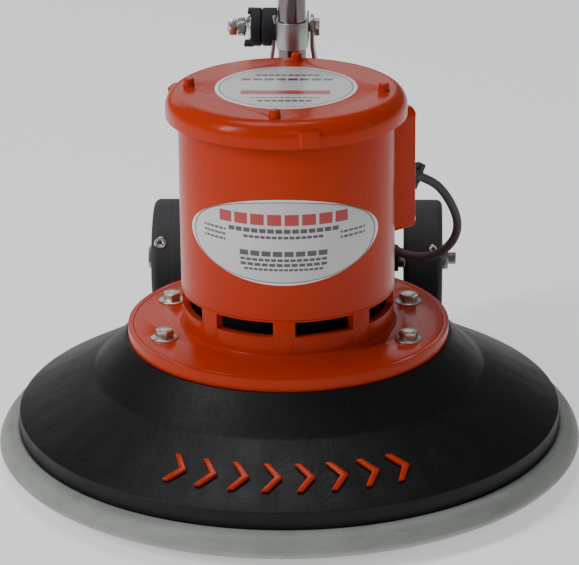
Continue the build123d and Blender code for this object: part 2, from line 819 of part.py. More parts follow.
with BuildPart() as terminal_box_screws:
    with BuildSketch(box_plane(box_outer_face)):
        with GridLocations(box_screw_span, box_screw_rise, 2, 2):
            Circle(3.6)
    extrude(amount=2.2)
    with BuildSketch(box_plane(box_outer_face)):
        with GridLocations(box_screw_span, box_screw_rise, 2, 2):
            Circle(box_screw_d / 2)
    extrude(amount=-box_cover_thickness - 8.0)
save(terminal_box_screws, "terminal_box_screws")

with BuildPart() as terminal_block:
    with BuildSketch(box_plane(box_reach)):
        with Locations((0, 24.0)):
            Rectangle(34.0, 20.0)
    extrude(amount=-8.0)
save(terminal_block, "terminal_block")

# The motor's lead: out of the gland, down in a loop, and back into the rear bracket.
gland_mouth = gland_seat + gland_axis * gland_length
cord_points = [
    gland_mouth - gland_axis * cord_depth,
    gland_mouth + gland_axis * 12.0,
    Vector(122.5, 74.5, 189.0),
    Vector(130.8, 82.5, 171.0),
    Vector(133.7, 90.0, 156.0),
    Vector(130.8, 95.0, 142.3),
    Vector(122.6, 99.5, 131.0),
    Vector(110.4, 103.7, 124.0),
    Vector(96.5, 107.5, 122.5),
    Vector(83.1, 110.5, 126.8),
    Vector(72.7, 112.0, 136.2),
]
cord_runs = [b - a for a, b in zip(cord_points, cord_points[1:])]
cord_radii = [
    0.45 * min(before.length, after.length) / tan(radians(before.get_angle(after) / 2))
    for before, after in zip(cord_runs, cord_runs[1:])
]
print("axle", round(axle_y, 3), round(axle_z, 3), "wheel", round(wheel_x, 3))
print("motor cord radii", [round(radius, 1) for radius in cord_radii])
with BuildPart() as motor_cord:
    with BuildLine() as cord_line:
        FilletPolyline(*cord_points, radius=cord_radii)
    with BuildSketch(Plane(origin=cord_points[0], z_dir=cord_runs[0])):
        Circle(cord_d / 2)
    sweep(path=cord_line.wires()[0])
cord_length = cord_line.wires()[0].length
print("motor cord length", round(cord_length, 1), "volume ratio",
      round(motor_cord.part.volume / (cord_length * pi * cord_d**2 / 4), 4))
save(motor_cord, "motor_cord")

entry_axis = cord_runs[-1].normalized()
entry_depth = 12.0
entry_seat = cord_points[-1] + entry_axis * (entry_depth - cord_depth)
gland_body = gland_length - boss_length
with BuildPart() as cable_glands:
    # on the terminal box's cover
    with BuildSketch(gland_plane(boss_length)):
        RegularPolygon(radius=gland_af / 2, side_count=6, major_radius=False)
    extrude(amount=0.35 * gland_body)
    with BuildSketch(gland_plane(boss_length)):
        Circle(gland_af / 2 - 2.2)
    extrude(amount=0.6 * gland_body)
    with BuildSketch(gland_plane(boss_length + 0.5 * gland_body)):
        RegularPolygon(radius=gland_af / 2 - 0.8, side_count=6, major_radius=False)
    extrude(amount=0.5 * gland_body, taper=6)
    with BuildSketch(gland_plane(gland_length)):
        Circle(cord_d / 2)
    extrude(amount=-cord_depth, mode=Mode.SUBTRACT)
    # on the rear bracket's ear
    with BuildSketch(Plane(origin=entry_seat, z_dir=-entry_axis)):
        RegularPolygon(radius=7.5, side_count=6, major_radius=False)
    extrude(amount=0.5 * entry_depth)
    with BuildSketch(Plane(origin=entry_seat, z_dir=-entry_axis)):
        Circle(6.0)
    extrude(amount=entry_depth)
    with BuildSketch(Plane(origin=cord_points[-1], z_dir=-entry_axis)):
        Circle(cord_d / 2)
    extrude(amount=cord_depth, mode=Mode.SUBTRACT)
save(cable_glands, "cable_glands")

# ================================================================ rear carriage
plate_top_z = flange_top_z + bracket_thickness
tab_x = arm_x - arm_thickness / 2  # outer face of the side tabs
arm_bolt_reaches = [(axle_y - tab_front_y - inset) / cos(arm_slope) for inset in arm_bolt_insets]


def arm_point(reach):
    """A point on the arm's middle line in the YZ plane, this far forward of the axle."""
    return (axle_y - reach * cos(arm_slope), axle_z + reach * sin(arm_slope))


arm_front = arm_point(max(arm_bolt_reaches))
tab_bottom_z = arm_point(min(arm_bolt_reaches))[1] - 8.0
tab_top_z = arm_front[1] + 12.0
stay_pivot_y = pivot_y + stay_pivot_dy
stay_pivot_z = pivot_z + stay_pivot_dz
lug_x = stay_bottom_x + stay_thickness / 2 + side_gap
with BuildPart() as rear_bracket:
    with BuildSketch(Plane.XY.offset(flange_top_z)):
        with Locations((0, (bracket_front_y + tab_front_y) / 2)):
            Rectangle(2 * bracket_front_half_width, tab_front_y - bracket_front_y)
        with Locations((0, (tab_front_y + bracket_rear_y) / 2)):
            Rectangle(2 * tab_x, bracket_rear_y - tab_front_y)
    extrude(amount=bracket_thickness)
    # side tabs for the arms
    for side in (-1, 1):
        with BuildSketch(Plane.YZ.offset(side * tab_x)):
            with Locations((0.5 * (tab_front_y + bracket_rear_y), 0.5 * (tab_bottom_z + tab_top_z))):
                Rectangle(bracket_rear_y - tab_front_y, tab_top_z - tab_bottom_z)
        extrude(amount=-side * arm_thickness)
    # clevis cheeks for the handle
    for side in (-1, 1):
        with BuildSketch(Plane.YZ.offset(side * clevis_gap / 2)):
            with Locations((pivot_y, 0.5 * (pivot_z + flange_top_z))):
                Rectangle(2 * eye_radius, pivot_z - flange_top_z)
            with Locations((pivot_y, pivot_z)):
                Circle(eye_radius)
        extrude(amount=side * clevis_thickness)
    # lugs for the stay
    for side in (-1, 1):
        with BuildSketch(Plane.YZ.offset(side * lug_x)):
            with Locations((stay_pivot_y, 0.5 * (stay_pivot_z + flange_top_z))):
                Rectangle(2 * eye_radius, stay_pivot_z - flange_top_z)
            with Locations((stay_pivot_y, stay_pivot_z)):
                Circle(eye_radius)
        extrude(amount=side * lug_thickness)
    # leaning ear for the cable entry
    ear_plane = Plane(origin=entry_seat, x_dir=(0, 1, 0), z_dir=entry_axis)
    ear_foot = (entry_seat.Z - plate_top_z + 3.0) / sqrt(1 - entry_axis.Z**2)
    with BuildSketch(ear_plane):
        Circle(10.0)
        with Locations((0, ear_foot / 2)):
            Rectangle(20.0, ear_foot)
    extrude(amount=4.0)
    # pockets for the nuts of the arms' bolts
    for side in (-1, 1):
        with BuildSketch(Plane.YZ.offset(side * (tab_x - arm_thickness))):
            with Locations(*[arm_point(reach) for reach in arm_bolt_reaches]):
                Circle(arm_bolt_d)
        extrude(amount=-side * arm_bolt_d, mode=Mode.SUBTRACT)
    # holes
    with Locations((0, bracket_bolt_y, plate_top_z)):
        with GridLocations(2 * bracket_bolt_x, 1.0, 2, 1):
            Hole(bracket_bolt_d / 2 + bolt_gap, depth=2 * bracket_thickness)
    for hole_y, hole_z, hole_radius in (
        (pivot_y, pivot_z, pivot_pin_d / 2),
        (stay_pivot_y, stay_pivot_z, pivot_pin_d / 2),
        (*arm_point(arm_bolt_reaches[0]), arm_bolt_d / 2 + bolt_gap),
        (*arm_point(arm_bolt_reaches[1]), arm_bolt_d / 2 + bolt_gap),
    ):
        with BuildSketch(Plane.YZ.offset(-2 * arm_x)):
            with Locations((hole_y, hole_z)):
                Circle(hole_radius)
        extrude(amount=4 * arm_x, mode=Mode.SUBTRACT)
save(rear_bracket, "rear_bracket")

with BuildPart() as bracket_bolts:
    with Locations((0, bracket_bolt_y, 0)):
        with GridLocations(2 * bracket_bolt_x, 1.0, 2, 1):
            add(hex_bolt(Plane.XY.offset(plate_top_z), bracket_bolt_d,
                         plate_top_z - deck_top_z + deck_wall + 8.0, bolt_across * bracket_bolt_d,
                         bolt_head_height))
    # the arms' bolts have their heads outside and their nuts inside the tabs
    for side in (-1, 1):
        for reach in arm_bolt_reaches:
            bolt_y, bolt_z = arm_point(reach)
            head_seat = Plane(origin=(side * (tab_x + arm_thickness), bolt_y, bolt_z),
                              x_dir=(0, 1, 0), z_dir=(side, 0, 0))
            nut_seat = Plane(origin=(side * (tab_x - arm_thickness), bolt_y, bolt_z),
                             x_dir=(0, 1, 0), z_dir=(-side, 0, 0))
            add(hex_bolt(head_seat, arm_bolt_d, 2 * arm_thickness + 8.0, bolt_across * arm_bolt_d,
                         bolt_head_height))
            add(hex_nut(nut_seat, bolt_across * arm_bolt_d, arm_bolt_d + 2 * running_gap, 6.5))
save(bracket_bolts, "bracket_bolts")

with BuildPart() as wheel_arms:
    for side in (-1, 1):
        with BuildSketch(Plane.YZ.offset(side * tab_x)):
            with Locations(((axle_y + arm_front[0]) / 2, (axle_z + arm_front[1]) / 2)):
                SlotCenterToCenter(max(arm_bolt_reaches), arm_width, rotation=-arm_rise)
            with Locations((axle_y, axle_z)):
                Circle(axle_d / 2, mode=Mode.SUBTRACT)
            with Locations(*[arm_point(reach) for reach in arm_bolt_reaches]):
                Circle(arm_bolt_d / 2 + bolt_gap, mode=Mode.SUBTRACT)
        extrude(amount=side * arm_thickness)
save(wheel_arms, "wheel_arms")

# ---------------------------------------------------------------- axle and wheels
hub_half_width = wheel_width / 2 - hub_recess
hub_outer_x = wheel_x + hub_half_width
hub_inner_x = wheel_x - hub_half_width
arm_outer_x = tab_x + arm_thickness
head_x = hub_outer_x + side_gap + washer_thickness
axle_end_x = hub_outer_x + 15.5
spacer_length = hub_inner_x - side_gap - arm_outer_x
with BuildPart() as axle:
    with BuildSketch(Plane.YZ.offset(-head_x)):
        with Locations((axle_y, axle_z)):
            Circle(axle_d / 2)
    extrude(amount=head_x + axle_end_x)
    with BuildSketch(Plane.YZ.offset(-head_x)):
        with Locations((axle_y, axle_z)):
            RegularPolygon(radius=axle_nut_radius, side_count=6, major_radius=False)
    extrude(amount=-nut_height)
save(axle, "axle")

with BuildPart() as axle_fasteners:
    for plane_x, thickness in (
        (-head_x, washer_thickness),
        (hub_outer_x + side_gap, washer_thickness),
        (-arm_outer_x - spacer_length, spacer_length),
        (arm_outer_x, spacer_length),
    ):
        with BuildSketch(Plane.YZ.offset(plane_x)):
            with Locations((axle_y, axle_z)):
                Circle(axle_d)
                Circle(axle_d / 2, mode=Mode.SUBTRACT)
        extrude(amount=thickness)
    for plane_x in (head_x + 0.1, tab_x - nut_height, -tab_x):
        with BuildSketch(Plane.YZ.offset(plane_x)):
            with Locations((axle_y, axle_z)):
                RegularPolygon(radius=axle_nut_radius, side_count=6, major_radius=False)
                Circle(axle_d / 2, mode=Mode.SUBTRACT)
        extrude(amount=nut_height)
save(axle_fasteners, "axle_fasteners")

tread_screw_x = wheel_x + 8.5
for side, side_name, screw_rise, screw_head_d in ((-1, "left", 34.0, 10.4), (1, "right", 29.0, 7.2)):
    tread_screw_angle = radians(180.0 - screw_rise)  # in the YZ plane, from +Y
    screw_axis = Vector(0, cos(tread_screw_angle), sin(tread_screw_angle))
    screw_head = Vector(side * tread_screw_x, axle_y, axle_z) + screw_axis * (wheel_radius - 3.0)
    screw_plane = Plane(origin=screw_head, x_dir=(1, 0, 0), z_dir=screw_axis)
    with BuildPart() as wheel:
        wheel_centre = Plane(origin=(side * wheel_x, axle_y, axle_z), x_dir=(0, 0, 1), z_dir=(0, 1, 0))
        with BuildSketch(wheel_centre):
            with BuildLine():
                half = wheel_width / 2
                Polyline(
                    (axle_d / 2 + running_gap, -hub_half_width),
                    (hub_radius - 8.0, -hub_half_width),
                    (hub_radius, -half),
                    (wheel_radius - 5.0, -half),
                    (wheel_radius - 1.2, -half + 3.0),
                    (wheel_radius, -half + tread_round),
                    (wheel_radius, -0.8),
                    (wheel_radius - 0.8, 0.0),
                    (wheel_radius, 0.8),
                    (wheel_radius, half - tread_round),
                    (wheel_radius - 1.2, half - 3.0),
                    (wheel_radius - 5.0, half),
                    (hub_radius, half),
                    (hub_radius - 8.0, hub_half_width),
                    (axle_d / 2 + running_gap, hub_half_width),
                    close=True,
                )
            make_face()
        revolve(axis=Axis(origin=(0, axle_y, axle_z), direction=(1, 0, 0)))
        with BuildSketch(screw_plane):
            Circle(screw_head_d / 2 + 0.1)
        extrude(amount=6.0, mode=Mode.SUBTRACT)
        with BuildSketch(screw_plane):
            Circle(2.5)
        extrude(amount=-14.0, mode=Mode.SUBTRACT)
    save(wheel, f"{side_name}_wheel")

    with BuildPart() as tread_screw:
        with BuildSketch(screw_plane):
            Circle(screw_head_d / 2)
            RegularPolygon(radius=0.2 * screw_head_d, side_count=6, mode=Mode.SUBTRACT)
        extrude(amount=3.4)
        with BuildSketch(screw_plane):
            Circle(2.5)
        extrude(amount=-14.0)
    save(tread_screw, f"{side_name}_wheel_screw")

with BuildPart() as pivot_pins:
    pin_ends = (
        (pivot_y, pivot_z, clevis_gap / 2 + clevis_thickness + 3.0),
        (stay_pivot_y, stay_pivot_z, lug_x + lug_thickness + 3.0),
    )
    for pin_y, pin_z, pin_reach in pin_ends:
        with BuildSketch(Plane.YZ.offset(-pin_reach)):
            with Locations((pin_y, pin_z)):
                Circle(pivot_pin_d / 2)
        extrude(amount=2 * pin_reach)
    for side in (-1, 1):
        for pin_y, pin_z, pin_reach in pin_ends:
            with BuildSketch(Plane.YZ.offset(side * (pin_reach - 3.0))):
                with Locations((pin_y, pin_z)):
                    Circle(pivot_pin_d / 2 + 2.5)
            extrude(amount=side * 2.5)
save(pivot_pins, "pivot_pins")

# ================================================================ handle
tube_radius = handle_tube_d / 2
tube_foot_z = pivot_z + eye_radius + 8.0
socket_bottom_z = pivot_z + eye_radius + 3.0
with BuildPart() as handle_socket:
    tongue = clevis_gap / 2 - side_gap
    with BuildSketch(Plane.YZ.offset(-tongue)):
        with Locations((pivot_y, pivot_z)):
            Circle(eye_radius)
        with Locations((pivot_y, 0.5 * (pivot_z + socket_bottom_z))):
            Rectangle(2 * eye_radius, socket_bottom_z - pivot_z)
        with Locations((pivot_y, pivot_z)):
            Circle(pivot_pin_d / 2 + running_gap, mode=Mode.SUBTRACT)
    extrude(amount=2 * tongue)
    with BuildSketch(Plane.XY.offset(socket_bottom_z)):
        with Locations((0, pivot_y)):
            Circle(socket_radius)
    extrude(amount=socket_height)
    with BuildSketch(Plane.XY.offset(tube_foot_z)):
        with Locations((0, pivot_y)):
            Circle(tube_radius)
    extrude(amount=socket_height, mode=Mode.SUBTRACT)
save(handle_socket, "handle_socket")

with BuildPart() as handle_tube:
    with BuildSketch(Plane.XY.offset(tube_foot_z)):
        with Locations((0, pivot_y)):
            Circle(tube_radius)
            Circle(tube_radius - 2.0, mode=Mode.SUBTRACT)
    extrude(amount=handle_top_z - tube_foot_z)
    with BuildSketch(Plane.YZ.offset(-2 * tube_radius)):
        with Locations((pivot_y, handle_top_z)):
            Circle(tube_radius)
    extrude(amount=4 * tube_radius, mode=Mode.SUBTRACT)
save(handle_tube, "handle_tube")

with BuildPart() as crossbar:
    with BuildSketch(Plane.YZ.offset(-crossbar_length / 2)):
        with Locations((pivot_y, handle_top_z)):
            Circle(tube_radius)
            Circle(tube_radius - 2.0, mode=Mode.SUBTRACT)
    extrude(amount=crossbar_length)
save(crossbar, "crossbar")

with BuildPart() as grips:
    for side in (-1, 1):
        grip_start_x = crossbar_length / 2 - grip_length
        with BuildSketch(Plane.YZ.offset(side * grip_start_x)):
            with Locations((pivot_y, handle_top_z)):
                Circle(grip_d / 2)
                Circle(tube_radius, mode=Mode.SUBTRACT)
        extrude(amount=side * grip_length)
        with BuildSketch(Plane.YZ.offset(side * grip_start_x)):
            with Locations((pivot_y, handle_top_z)):
                Circle(grip_d / 2 + 5.0)
                Circle(tube_radius, mode=Mode.SUBTRACT)
        extrude(amount=side * 5.0)
        with BuildSketch(Plane.YZ.offset(side * crossbar_length / 2)):
            with Locations((pivot_y, handle_top_z)):
                Circle(grip_d / 2)
        extrude(amount=side * 4.0)
save(grips, "grips")

# ---------------------------------------------------------------- switch box
box_top_z = handle_top_z - switch_box_drop
box_floor_z = box_top_z - switch_box_height
box_rear_y = pivot_y + switch_box_depth / 2
button_x = -0.3 * switch_box_width
button_z = box_top_z - 0.36 * switch_box_height
button_radius = 8.0
button_travel = 4.0
inlet_x = 0.27 * switch_box_width
inlet_bore_radius = 4.5
inlet_length = 18.0
trigger_pivot_x = switch_box_width / 2 + 8.0
trigger_pivot_z = box_top_z - 12.0
trigger_pin_d = 5.0
with BuildPart() as switch_box:
    with BuildSketch(Plane.XY.offset(box_floor_z)):
        with Locations((0, pivot_y)):
            RectangleRounded(switch_box_width, switch_box_depth, 6.0)
    extrude(amount=switch_box_height)
    fillet(switch_box.faces().sort_by(Axis.Y)[0].edges(), radius=2.5)
    with BuildSketch(Plane.XZ.offset(-box_rear_y)):
        with Locations((0, 0.5 * (box_floor_z + box_top_z))):
            Rectangle(switch_box_width - 2 * switch_box_wall, switch_box_height - 2 * switch_box_wall)
    extrude(amount=switch_box_depth - switch_box_wall, mode=Mode.SUBTRACT)
    # ears for the triggers
    for side in (-1, 1):
        for ear_side in (-1, 1):
            with BuildSketch(Plane.XZ.offset(-pivot_y - ear_side * 9.5)):
                with Locations((side * trigger_pivot_x, trigger_pivot_z)):
                    Circle(6.0)
                with Locations((side * (switch_box_width / 2 + 2.0), trigger_pivot_z)):
                    Rectangle(12.0, 12.0)
                with Locations((side * trigger_pivot_x, trigger_pivot_z)):
                    Circle(trigger_pin_d / 2, mode=Mode.SUBTRACT)
            extrude(amount=1.5, both=True)
    with BuildSketch(Plane.XY.offset(box_floor_z - 1.0)):
        with Locations((0, pivot_y)):
            Circle(tube_radius)
    extrude(amount=switch_box_height + 2.0, mode=Mode.SUBTRACT)
    with BuildSketch(Plane.XY.offset(box_floor_z - 1.0)):
        with Locations((inlet_x, pivot_y)):
            Circle(8.0)
    extrude(amount=switch_box_wall + 2.0, mode=Mode.SUBTRACT)
save(switch_box, "switch_box")

with BuildPart() as switch_box_cover:
    with BuildSketch(Plane.XZ.offset(-box_rear_y)):
        with Locations((0, 0.5 * (box_floor_z + box_top_z))):
            RectangleRounded(switch_box_width, switch_box_height, 5.0)
        with Locations((button_x, button_z)):
            Circle(button_radius + side_gap, mode=Mode.SUBTRACT)
    extrude(amount=-switch_box_wall)
save(switch_box_cover, "switch_box_cover")

with BuildPart() as safety_button:
    with BuildSketch(Plane.XZ.offset(-box_rear_y - switch_box_wall - button_travel - 1.5)):
        with Locations((button_x, button_z)):
            Circle(button_radius)
    extrude(amount=switch_box_wall + button_travel + 3.0)
    fillet(safety_button.faces().sort_by(Axis.Y)[-1].edges(), radius=1.5)
save(safety_button, "safety_button")

with BuildPart() as inlet_gland:
    with BuildSketch(Plane.XY.offset(box_floor_z)):
        with Locations((inlet_x, pivot_y)):
            RegularPolygon(radius=11.0, side_count=6, major_radius=False)
    extrude(amount=-8.0)
    with BuildSketch(Plane.XY.offset(box_floor_z + switch_box_wall)):
        with Locations((inlet_x, pivot_y)):
            Circle(8.0)
    extrude(amount=-switch_box_wall - inlet_length + switch_box_wall)
    with BuildSketch(Plane.XY.offset(box_floor_z + switch_box_wall)):
        with Locations((inlet_x, pivot_y)):
            Circle(inlet_bore_radius)
    extrude(amount=-inlet_length, mode=Mode.SUBTRACT)
save(inlet_gland, "inlet_gland")

capacitor_radius = 16.0
with BuildPart() as start_capacitor:
    with BuildSketch(Plane.XY.offset(box_floor_z + switch_box_wall)):
        with Locations((-0.27 * switch_box_width, box_rear_y - capacitor_radius - 1.0)):
            Circle(capacitor_radius)
    extrude(amount=0.5 * switch_box_height - switch_box_wall)
save(start_capacitor, "start_capacitor")

trigger_rise = 6.0
for side, side_name in ((-1, "left"), (1, "right")):
    with BuildPart() as trigger:
        with BuildSketch(Plane.XZ.offset(-pivot_y)):
            with Locations((side * trigger_pivot_x, trigger_pivot_z)):
                Circle(5.5)
            with BuildLine():
                root_x = side * trigger_pivot_x
                tip_x = side * (trigger_pivot_x + trigger_length)
                Polyline(
                    (root_x, trigger_pivot_z - 2.5),
                    (tip_x, trigger_pivot_z - 2.5 + trigger_rise),
                    (tip_x, trigger_pivot_z + 2.5 + trigger_rise),
                    (root_x, trigger_pivot_z + 2.5),
                    close=True,
                )
            make_face()
            with Locations((side * trigger_pivot_x, trigger_pivot_z)):
                Circle(trigger_pin_d / 2 + running_gap, mode=Mode.SUBTRACT)
        extrude(amount=8.0 - side_gap, both=True)
    save(trigger, f"{side_name}_trigger")

with BuildPart() as trigger_pins:
    with BuildSketch(Plane.XZ.offset(-pivot_y)):
        with Locations((-trigger_pivot_x, trigger_pivot_z), (trigger_pivot_x, trigger_pivot_z)):
            Circle(trigger_pin_d / 2)
    extrude(amount=11.0, both=True)
save(trigger_pins, "trigger_pins")

hook_reach = 46.0
hook_levels = (box_floor_z - 60.0, box_floor_z - 320.0)
with BuildPart() as cord_hooks:
    for index, hook_z in enumerate(hook_levels):
        turn = 1 if index == 0 else -1
        with BuildSketch(Plane.XY.offset(hook_z - 8.0)):
            with Locations((0, pivot_y)):
                Circle(tube_radius + 3.0)
                Circle(tube_radius, mode=Mode.SUBTRACT)
        extrude(amount=16.0)
        with BuildSketch(Plane.YZ):
            with Locations((pivot_y + tube_radius + 1.0 + hook_reach / 2, hook_z)):
                Rectangle(hook_reach, 5.0)
            with Locations((pivot_y + tube_radius + 1.0 + hook_reach - 2.5, hook_z + turn * 11.0)):
                Rectangle(5.0, 27.0)
        extrude(amount=7.0, both=True)
save(cord_hooks, "cord_hooks")

# ================================================================ clamp and stay
bolt_y = pivot_y + cross_bolt_offset
collar_inner = tube_radius + collar_gap
collar_outer = collar_inner + collar_wall
leg_end_y = bolt_y + 10.0
with BuildPart() as clamp_collar:
    with BuildSketch(Plane.XY.offset(collar_z - collar_height / 2)):
        with Locations((0, pivot_y)):
            Circle(collar_outer)
        with Locations((0, 0.5 * (pivot_y + leg_end_y))):
            Rectangle(2 * collar_outer, leg_end_y - pivot_y)
        with Locations((0, pivot_y)):
            Circle(collar_inner, mode=Mode.SUBTRACT)
        with Locations((0, 0.5 * (pivot_y + leg_end_y) + 0.5)):
            Rectangle(2 * collar_inner, leg_end_y - pivot_y + 1.0, mode=Mode.SUBTRACT)
    extrude(amount=collar_height)
    with BuildSketch(Plane.YZ.offset(-2 * collar_outer)):
        with Locations((bolt_y, collar_z)):
            Circle(cross_bolt_d / 2)
    extrude(amount=4 * collar_outer, mode=Mode.SUBTRACT)
save(clamp_collar, "clamp_collar")

# Places along the cross bolt, from the tube's axis outwards.
bar_outer_x = stay_top_x + stay_thickness / 2
bolt_head_x = bar_outer_x + side_gap
inner_half_end_x = collar_outer + 12.1
outer_half_start_x = inner_half_end_x + side_gap
outer_half_end_x = outer_half_start_x + 10.5
nut_start_x = outer_half_end_x + 2.6
with BuildPart() as cross_bolt:
    with BuildSketch(Plane.YZ.offset(bolt_head_x)):
        with Locations((bolt_y, collar_z)):
            Circle(cross_bolt_d / 2)
    extrude(amount=-bolt_head_x - nut_start_x - 14.4)
    with BuildSketch(Plane.YZ.offset(bolt_head_x)):
        with Locations((bolt_y, collar_z)):
            RegularPolygon(radius=bolt_across * cross_bolt_d / 2, side_count=6, major_radius=False)
    extrude(amount=4.2)
save(cross_bolt, "cross_bolt")

with BuildPart() as clamp_nuts:
    for nut_x in (nut_start_x, nut_start_x + 6.9):
        with BuildSketch(Plane.YZ.offset(-nut_x)):
            with Locations((bolt_y, collar_z)):
                RegularPolygon(radius=bolt_across * cross_bolt_d / 2, side_count=6, major_radius=False)
                Circle(cross_bolt_d / 2, mode=Mode.SUBTRACT)
        extrude(amount=-6.3)
    # domed washer
    with BuildSketch(Plane.XY.offset(collar_z)):
        with BuildLine():
            Polyline(
                (side_gap - nut_start_x, bolt_y + cross_bolt_d / 2),
                (side_gap - nut_start_x, bolt_y + 7.0),
                (-outer_half_end_x - side_gap, bolt_y + 11.5),
                (-outer_half_end_x - side_gap, bolt_y + cross_bolt_d / 2),
                close=True,
            )
        make_face()
    revolve(axis=Axis(origin=(0, bolt_y, collar_z), direction=(1, 0, 0)))
save(clamp_nuts, "clamp_nuts")

with BuildPart() as clamp_cup:
    with BuildSketch(Plane.YZ.offset(-collar_outer)):
        with Locations((bolt_y, collar_z)):
            Circle(clamp_radius)
    extrude(amount=collar_outer - inner_half_end_x)
    chamfer(clamp_cup.faces().sort_by(Axis.X)[0].edges(), length=1.2)
    with BuildSketch(Plane.YZ.offset(-collar_outer)):
        with Locations((bolt_y, collar_z)):
            Circle(clamp_radius - 2.0)
        with Locations((bolt_y, collar_z - clamp_radius)):
            Rectangle(2 * (clamp_radius - 2.0), 2 * clamp_radius)
    extrude(amount=collar_outer - bar_outer_x - side_gap, mode=Mode.SUBTRACT)
    with BuildSketch(Plane.YZ.offset(-collar_outer)):
        with Locations((bolt_y, collar_z)):
            Circle(cross_bolt_d / 2)
    extrude(amount=collar_outer - inner_half_end_x, mode=Mode.SUBTRACT)
save(clamp_cup, "clamp_cup")

with BuildPart() as clamp_lever:
    with BuildSketch(Plane.YZ.offset(-outer_half_start_x)):
        with Locations((bolt_y, collar_z)):
            Circle(clamp_radius)
    extrude(amount=outer_half_start_x - outer_half_end_x)
    chamfer(clamp_lever.faces().sort_by(Axis.X)[-1].edges(), length=1.2)
    with BuildSketch(Plane.YZ.offset(-outer_half_start_x - 1.5)):
        with Locations((bolt_y + lever_length / 2, collar_z - clamp_radius + 5.0)):
            Rectangle(lever_length, 9.0)
        with Locations((bolt_y + lever_length, collar_z - clamp_radius + 5.0)):
            Circle(6.0)
    extrude(amount=-7.0)
    # lips over the washer
    for lip_z, lip_reach in ((-clamp_radius + 2.0, 5.0), (clamp_radius - 1.5, 2.5)):
        with BuildSketch(Plane.YZ.offset(-outer_half_end_x + 1.0)):
            with Locations((bolt_y, collar_z + lip_z)):
                Rectangle(11.0, 3.0)
        extrude(amount=-lip_reach)
    with BuildSketch(Plane.YZ.offset(-outer_half_start_x)):
        with Locations((bolt_y, collar_z)):
            Circle(cross_bolt_d / 2 + running_gap)
    extrude(amount=outer_half_start_x - outer_half_end_x, mode=Mode.SUBTRACT)
save(clamp_lever, "clamp_lever")

# The stay: two flat bars from the bracket's lugs up to the cross bolt, joined by a spacer tube.
stay_bottom = Vector(0, stay_pivot_y, stay_pivot_z)
stay_top = Vector(0, bolt_y, collar_z)
stay_run = stay_top - stay_bottom
stay_length = stay_run.length
stay_up = stay_run.normalized()
stay_plane = Plane(origin=stay_bottom, x_dir=(1, 0, 0), z_dir=Vector(1, 0, 0).cross(stay_up))
with BuildPart() as handle_stay:
    for side in (-1, 1):
        with BuildSketch(stay_plane):
            with BuildLine():
                foot_in = side * (stay_bottom_x - stay_thickness / 2)
                foot_out = side * (stay_bottom_x + stay_thickness / 2)
                head_in = side * (stay_top_x - stay_thickness / 2)
                head_out = side * (stay_top_x + stay_thickness / 2)
                Polyline(
                    (foot_in, -stay_width / 2),
                    (foot_in, 14.0),
                    (head_in, stay_length - 14.0),
                    (head_in, stay_length + stay_width / 2),
                    (head_out, stay_length + stay_width / 2),
                    (head_out, stay_length - 14.0),
                    (foot_out, 14.0),
                    (foot_out, -stay_width / 2),
                    close=True,
                )
            make_face()
        extrude(amount=stay_width / 2, both=True)
    bar_corners = handle_stay.edges().filter_by(Axis.X).sort_by(Axis.Z)
    fillet(bar_corners[:4] + bar_corners[-4:], radius=0.45 * stay_width)
    with BuildSketch(Plane.YZ.offset(-stay_bottom_x)):
        with Locations((stay_pivot_y, stay_pivot_z)):
            Circle(pivot_pin_d / 2 + 3.0)
    extrude(amount=2 * stay_bottom_x)
    with BuildSketch(Plane.YZ.offset(-2 * stay_bottom_x)):
        with Locations((stay_pivot_y, stay_pivot_z)):
            Circle(pivot_pin_d / 2 + running_gap)
        with Locations((bolt_y, collar_z)):
            Circle(cross_bolt_d / 2 + open_pivot_gap)
    extrude(amount=4 * stay_bottom_x, mode=Mode.SUBTRACT)
save(handle_stay, "handle_stay")
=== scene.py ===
"""Looks of a commercial floor burnisher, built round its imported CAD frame.

Lengths are in metres in the CAD's own frame: the origin is on the floor on the motor's axis, +Z is up,
-Y is the front with the label and +Y is the rear with the wheels and the handle.
"""

import json
import logging
import math
from abc import ABC, abstractmethod
from dataclasses import dataclass
from enum import Enum
from typing import Iterable, Sequence

import bmesh
import bpy
from mathutils import Matrix, Vector, noise


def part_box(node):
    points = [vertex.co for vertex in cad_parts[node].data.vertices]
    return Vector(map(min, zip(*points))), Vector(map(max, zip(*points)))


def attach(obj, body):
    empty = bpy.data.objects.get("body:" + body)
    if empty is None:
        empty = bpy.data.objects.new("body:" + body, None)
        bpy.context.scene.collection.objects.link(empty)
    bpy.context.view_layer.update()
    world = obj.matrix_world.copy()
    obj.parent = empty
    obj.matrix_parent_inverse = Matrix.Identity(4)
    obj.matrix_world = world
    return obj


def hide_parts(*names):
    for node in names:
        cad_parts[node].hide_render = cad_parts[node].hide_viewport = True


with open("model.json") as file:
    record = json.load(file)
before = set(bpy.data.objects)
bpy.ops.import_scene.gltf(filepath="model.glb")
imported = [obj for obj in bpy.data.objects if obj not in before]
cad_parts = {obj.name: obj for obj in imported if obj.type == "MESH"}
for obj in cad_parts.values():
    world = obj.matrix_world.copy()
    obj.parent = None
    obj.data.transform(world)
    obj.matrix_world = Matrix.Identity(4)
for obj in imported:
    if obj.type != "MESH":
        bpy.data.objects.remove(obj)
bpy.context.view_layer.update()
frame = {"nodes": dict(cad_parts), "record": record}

log = logging.getLogger("burnisher")
Colour = tuple[float, float, float]
Point = tuple[float, float, float]


